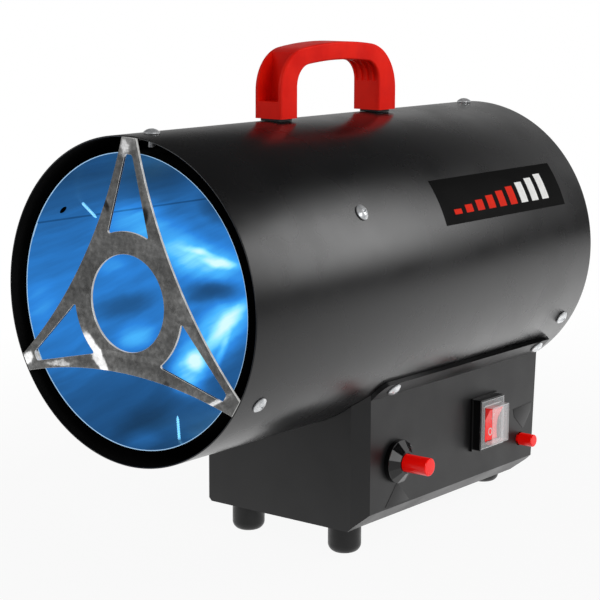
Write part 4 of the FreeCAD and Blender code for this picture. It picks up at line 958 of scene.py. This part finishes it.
def curvedPatch(name, y0, y1, low, high, radius, thickness, materialName):
    work = bmesh.new()
    columns, rows = 24, 10
    grid = [[work.verts.new(polar(low + (high - low) * j / rows, radius, y0 + (y1 - y0) * i / columns))
             for j in range(rows + 1)] for i in range(columns + 1)]
    for here, there in zip(grid, grid[1:]):
        for j in range(rows):
            work.faces.new((here[j], here[j + 1], there[j + 1], there[j]))
    made = bmesh.ops.extrude_face_region(work, geom=list(work.faces))
    for item in made["geom"]:
        if isinstance(item, bmesh.types.BMVert):
            item.co += Vector((item.co.x, 0, item.co.z)).normalized() * thickness
    addPiece(name, meshFrom(work, name), materialName, "housing", (), 40)


def makeLabel():
    y0, y1, low, high, bars = (label[key] for key in ("y0", "y1", "low", "high", "bars"))
    surface = tubeRadius + label["lift"]
    curvedPatch("tubeLabel", y0, y1, low, high, surface, label["sheet"], "gloss")
    width = (y1 - y0 - 2 * label["margin"]) / bars
    growth = high - low - label["lowTop"] - label["highTop"]
    for i in range(bars):
        start = y0 + label["margin"] + width * i
        top = low + label["lowTop"] + growth * (i + 1) / bars
        curvedPatch("labelBar%d" % (i + 1), start, start + width * label["barShare"], low + label["barFoot"], top,
                    surface + label["sheet"], label["ink"], "redPrint" if i < label["redBars"] else "white")


# Raised blanks on the side panel, left bare, as (y, z) outlines
panel = {"x": 63.0, "sunk": 0.05, "height": 0.2, "edge": 0.12, "blanks": {
    "ignitionBlank": [(169.3, -126.6), (182.5, -140.0), (157.0, -140.0)],
    "gasBlank": [(301.5, -105.6), (324.5, -104.6), (323.5, -110.5), (314.4, -121.0), (303.0, -111.0)],
}}


def makePanelBlanks():
    for name, outline in panel["blanks"].items():
        work = bmesh.new()
        closeBetween(work, *([work.verts.new((x, y, z)) for y, z in outline]
                             for x in (panel["x"] - panel["sunk"], panel["x"] + panel["height"])))
        piece = addPiece(name, meshFrom(work, name), "charcoal", "housing", (), 0)
        addModifier(piece, "rounded", "BEVEL", width=panel["edge"] / 1000, segments=2)
        applied(piece)
        smoothByAngle(piece.data, 30)


# Marks on the rocker, printed on its face and moving with it
rockerMark = {"rise": 5.2, "ring": 1.9, "tall": 1.15, "line": 0.65, "bar": 4.0, "lift": 0.05}


def layOnRocker(work, rows):
    # rows of points (along, up) in millimetres about the rocker's middle, dropped on its outer face
    key = frame["nodes"]["switch_rocker"].data
    face = BVHTree.FromPolygons([v.co for v in key.vertices], [p.vertices for p in key.polygons])
    low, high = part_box("switch_rocker")
    outside = Vector((high.x + 0.01, (low.y + high.y) / 2, (low.z + high.z) / 2))
    along, up = (tubeFrame.to_3x3() @ Vector(way) for way in ((0, 1, 0), (0, 0, 1)))
    laid = []
    for row in rows:
        hits = [face.ray_cast(outside + (along * a + up * u) / 1000, Vector((-1, 0, 0)))[:2] for a, u in row]
        laid.append([work.verts.new(place + normal * rockerMark["lift"] / 1000) for place, normal in hits])
    for inner, outer in zip(laid, laid[1:]):
        for i in range(len(inner) - 1):
            work.faces.new((inner[i], outer[i], outer[i + 1], inner[i + 1]))


def makeRockerMarks():
    work = bmesh.new()
    ring, half, tall = rockerMark["ring"], rockerMark["line"] / 2, rockerMark["tall"]
    angles = [2 * math.pi * i / 32 for i in range(33)]
    layOnRocker(work, [[(r * math.cos(a), r * tall * math.sin(a) - rockerMark["rise"]) for a in angles]
                       for r in (ring - half, ring + half)])
    steps = [rockerMark["rise"] + rockerMark["bar"] * (i / 6 - 0.5) for i in range(7)]
    layOnRocker(work, [[(side * half, u) for u in steps] for side in (-1, 1)])
    mesh = meshFrom(work, "rockerMarks", Matrix(), False)
    for face in mesh.polygons:
        if face.normal.x < 0:
            face.flip()
    addPiece("rockerMarks", mesh, "white", "rocker", (), 0)


# Springs under the two buttons, each with a mesh of its own
def makeSprings():
    for node, name, joint in (("igniter_spring", "igniterSpring", "ignition_press"),
                              ("valve_spring", "valveSpring", "gas_press")):
        piece = dressedCopy(node, name, "spring", 0.0, 60, 0.01)
        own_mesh(piece)


# Rear guard: wire rings grown by a node tree, on three arms
guard = {"y": 340.5, "wire": 2.0, "rings": 6, "first": 36.0, "last": 87.0, "plate": 27.0, "hole": 8,
         "edge": 0.4, "sheet": 2.0, "armHalf": 4.0, "armFoot": 4, "tab": 16, "gap": 0.2, "angles": (90, 210, 330)}


def ringTree():
    tree, given = nodeTree("guardRings", [("Rings", "NodeSocketInt"), ("First Radius", "NodeSocketFloat"),
                                          ("Spacing", "NodeSocketFloat"), ("Wire Radius", "NodeSocketFloat"),
                                          ("Finish", "NodeSocketMaterial")])
    line = addNode(tree, "GeometryNodeMeshLine", links={"Count": given["Rings"]})
    index = addNode(tree, "GeometryNodeInputIndex")
    radius = addMath(tree, "MULTIPLY_ADD", index.outputs[0], given["Spacing"], given["First Radius"])
    home = addNode(tree, "GeometryNodeSetPosition", {"Position": (0.0, 0.0, 0.0)},
                   {"Geometry": line.outputs["Mesh"]})
    circle = addNode(tree, "GeometryNodeCurvePrimitiveCircle", {"Resolution": 96, "Radius": 1.0})
    rings = addNode(tree, "GeometryNodeInstanceOnPoints", links={"Points": home.outputs["Geometry"],
                                                                 "Instance": circle.outputs["Curve"],
                                                                 "Scale": radius})
    real = addNode(tree, "GeometryNodeRealizeInstances", links={"Geometry": rings.outputs["Instances"]})
    section = addNode(tree, "GeometryNodeCurvePrimitiveCircle", {"Resolution": 12},
                      {"Radius": given["Wire Radius"]})
    wire = addNode(tree, "GeometryNodeCurveToMesh", {"Fill Caps": True},
                   {"Curve": real.outputs["Geometry"], "Profile Curve": section.outputs["Curve"]})
    return finishTree(tree, wire.outputs["Mesh"], given["Finish"])


def guardArm(reach):
    # profile of an arm: flat from the plate to the shell, then a tab bent forward along it
    back, front, foot = guard["y"] + guard["sheet"], guard["y"], guard["plate"] - guard["armFoot"]
    inner, tabEnd = reach - guard["sheet"], front - guard["tab"]
    return [(foot, front), (reach - 2.5, front), (inner, front - 0.7), (inner, tabEnd), (reach, tabEnd),
            (reach, front), (reach - 0.8, front + 1.4), (reach - 2.2, back), (foot, back)]


def makeGuard():
    y, wire, edge, sheet, plate = (guard[key] for key in ("y", "wire", "edge", "sheet", "plate"))
    piece = grown("guardRings", bpy.data.meshes.new("guardRings"), ringTree(), {
        "Rings": guard["rings"], "First Radius": guard["first"], "Wire Radius": wire / 2,
        "Spacing": (guard["last"] - guard["first"]) / (guard["rings"] - 1), "Finish": materials["enamel"]})
    work = bmesh.new()
    work.from_mesh(piece.data)
    bpy.data.objects.remove(piece)
    work.transform(Matrix(((1, 0, 0, 0), (0, 0, 1, y + wire / 2), (0, 1, 0, 0), (0, 0, 0, 1))))
    for angle in guard["angles"]:
        addStrip(work, angle, guardArm(tubeRadius - shell["sheet"] - guard["gap"]), guard["armHalf"])
    revolve(work, [(guard["hole"], y), (plate - edge, y), (plate, y + edge), (plate, y + sheet - edge),
                   (plate - edge, y + sheet), (guard["hole"], y + sheet)], 72)
    addPiece("rearGuard", meshFrom(work, "rearGuard"), "enamel", "housing", ["rear_guard"], 40)


makeShell()
makeLiner()
makeStar()
print("tube, liner and star made")
dressedCopy("base_tray", "baseTub", "charcoal", 0.7, joined=("base_front", "base_rear", "base_left", "base_right"))
dressedCopy("handle", "carryHandle", "red", 0.0, 32, 0.1)
dressedCopy("igniter_nut", "igniterNut", "nylon", 0.2, 8)
dressedCopy("ignition_button", "ignitionButton", "redButton", 0.0, 32, 0.1)
dressedCopy("gas_button", "gasButton", "redButton", 0.0, 32, 0.1)
dressedCopy("switch_housing", "switchBezel", "nylon", 0.3)
dressedCopy("switch_rocker", "rockerKey", "redButton", 0.3)
dressedCopy("switch_cap", "splashCap", "clear", 0.25, edgeName="clearEdge").visible_shadow = False
dressedCopy("front_feet", "frontFeet", "rubber", 0.0, 40, 0.1)
dressedCopy("rear_feet", "rearFeet", "rubber", 0.0, 40, 0.1)
dressedCopy("fan", "fanBlades", "fan", 0.2)
print("base, handle, controls and feet dressed")
makeScrews()
makeGuard()
makeTails()
makeLabel()
makePanelBlanks()
makeRockerMarks()
makeSprings()
print("screws, guard, label, marks and springs made")


# Studio: pale floor, soft lamps, and the camera at the photograph's angle
studio = {
    "floorHalf": 3.0, "floorShare": 0.93, "shadowReach": (0.25, 0.6), "floorGlare": 1.5, "frontGlare": 0.35,
    "glareWay": (-0.55, 0.83, 0.0), "glareReach": (-0.6, 0.1), "farReach": (0.25, 1.4), "farGlare": 0.26,
    "ambient": 0.35, "mirrored": 0.05, "horizon": 0.5, "horizonBand": (0.2, 0.45), "aim": (0, 0, 0.17),
    "card": {"x": (0.3, 2.6), "y": 1.6, "z": (0.0, 1.6), "strength": 4.7,
             "fades": [("X", 0.4, 1.5, 0, 1), ("X", 2.2, 2.6, 1, 0), ("Z", 0, 0.7, 0, 1)]},
    "lamps": {
        "backSoftbox": {"at": (0.95, 1.5, 0.86), "size": (1.1, 0.5), "watts": 12, "mirrored": False},
        "rightFill": {"at": (1.9, -0.5, 0.75), "size": (0.9, 0.9), "watts": 11},
        "frontFill": {"at": (-0.9, -1.9, 1.1), "size": (0.9, 0.9), "watts": 6.5},
    },
}
white = (1, 1, 1, 1)


def stagePlane(name, corners, material):
    mesh = bpy.data.meshes.new(name)
    mesh.from_pydata(corners, [], [(0, 1, 2, 3)])
    mesh.materials.append(material)
    plane = linked(name, mesh)


def makeFloor():
    # white to the eye, with the heater's shadow; mirrored surfaces see it brighter behind than in front
    material, shader = newMaterial("paleFloor", "#c8c8c8", 0.7)
    place = addNode(material, "ShaderNodeTexCoord").outputs["Object"]
    rays = addNode(material, "ShaderNodeLightPath").outputs
    away = vectorMath(material, "LENGTH", place)
    seen = addMath(material, "MAXIMUM", rays["Is Camera Ray"], rays["Is Transmission Ray"])
    fade = spread(material, away, studio["shadowReach"], (studio["floorShare"], 1.0))
    plain = addNode(material, "ShaderNodeEmission", {"Color": white, "Strength": 1.0})
    first = mixShaders(material, addMath(material, "MULTIPLY", seen, fade), shader.outputs[0], plain.outputs[0])
    slope = vectorMath(material, "DOT_PRODUCT", place, studio["glareWay"])
    glare = spread(material, slope, studio["glareReach"], (studio["frontGlare"], studio["floorGlare"]))
    distant = spread(material, away, studio["farReach"], (1.0, studio["farGlare"]))
    mirrored = addNode(material, "ShaderNodeEmission", {"Color": white},
                       {"Strength": addMath(material, "MULTIPLY", glare, distant)})
    setSurface(material, mixShaders(material, rays["Is Glossy Ray"], first, mirrored.outputs[0]))
    size = studio["floorHalf"]
    stagePlane("floor", [(-size, -size, 0), (size, -size, 0), (size, size, 0), (-size, size, 0)], material)


def horizonGlow(world):
    # mirrored rays see a soft band of light low down and a dim sky above
    height = parted(world, addNode(world, "ShaderNodeTexCoord").outputs["Generated"], "Z")
    return spread(world, height, studio["horizonBand"], (studio["horizon"], studio["mirrored"]))


def makeWorld():
    # white behind the heater, dim in its reflections and soft on its surfaces
    world = bpy.data.worlds.new("studio")
    world.use_nodes = True
    bpy.context.scene.world = world
    rays = addNode(world, "ShaderNodeLightPath").outputs
    total = 0.0
    for output, level in (("Is Camera Ray", 1.0), ("Is Transmission Ray", 1.0),
                          ("Is Glossy Ray", horizonGlow(world)), ("Is Diffuse Ray", studio["ambient"])):
        total = addMath(world, "MULTIPLY_ADD", rays[output], level, total)
    background = world.node_tree.nodes["Background"]
    background.inputs["Color"].default_value = white
    connect(world, total, background, "Strength")


def makeBackCard():
    # a card that only mirrored rays see: it draws the soft glint along the tube
    card = studio["card"]
    material = bpy.data.materials.new("backCard")
    material.use_nodes = True
    place = addNode(material, "ShaderNodeTexCoord").outputs["Object"]
    level = card["strength"]
    for axis, low, high, first, last in card["fades"]:
        fade = spread(material, parted(material, place, axis), (low, high), (first, last),
                      interpolation_type="SMOOTHSTEP")
        level = addMath(material, "MULTIPLY", fade, level)
    glow = addNode(material, "ShaderNodeEmission", {"Color": white}, {"Strength": level})
    clear = addNode(material, "ShaderNodeBsdfTransparent")
    path = addNode(material, "ShaderNodeLightPath")
    setSurface(material, mixShaders(material, path.outputs["Is Glossy Ray"], clear.outputs[0], glow.outputs[0]))
    (x0, x1), y, (z0, z1) = card["x"], card["y"], card["z"]
    stagePlane("backCard", [(x0, y, z0), (x1, y, z0), (x1, y, z1), (x0, y, z1)], material)


def makeLamps():
    for name, spec in studio["lamps"].items():
        lamp = bpy.data.lights.new(name, "AREA")
        lamp.shape = "RECTANGLE"
        lamp.size, lamp.size_y = spec["size"]
        lamp.energy = spec["watts"]
        holder = linked(name, lamp)
        holder.location = spec["at"]
        holder.visible_glossy = spec.get("mirrored", True)
        aim = Vector(studio["aim"]) - Vector(spec["at"])
        holder.rotation_euler = aim.to_track_quat("-Z", "Y").to_euler()


# The photograph's camera: angles in degrees, place in the tube's frame, focal length in its pixels
viewpoint = {"azimuth": 38.0746, "elevation": 10.0710, "roll": 0.2280, "at": (699.7, -739.7, 182.5),
             "focal": 1884.43, "pixels": 600, "sensor": 36}


def makeCamera():
    a, e, r = (math.radians(viewpoint[key]) for key in ("azimuth", "elevation", "roll"))
    right = Vector((math.cos(a), math.sin(a), 0))
    ahead = Vector((-math.sin(a) * math.cos(e), math.cos(a) * math.cos(e), -math.sin(e)))
    up = right.cross(ahead)
    turnedRight = right * math.cos(r) + up * math.sin(r)
    turnedUp = up * math.cos(r) - right * math.sin(r)
    axes = Matrix((turnedRight, turnedUp, -ahead)).transposed().to_4x4()
    lens = bpy.data.cameras.new("photoView")
    lens.sensor_width = viewpoint["sensor"]
    lens.lens = viewpoint["focal"] / viewpoint["pixels"] * viewpoint["sensor"]
    lens.clip_end = 100
    camera = linked("photoView", lens)
    camera.matrix_world = tubeFrame @ Matrix.Translation(Vector(viewpoint["at"]) / 1000) @ axes
    bpy.context.scene.camera = camera


makeFloor()
makeWorld()
makeBackCard()
makeLamps()
makeCamera()
bpy.context.scene.view_settings.view_transform = "Standard"
print("studio and camera ready")
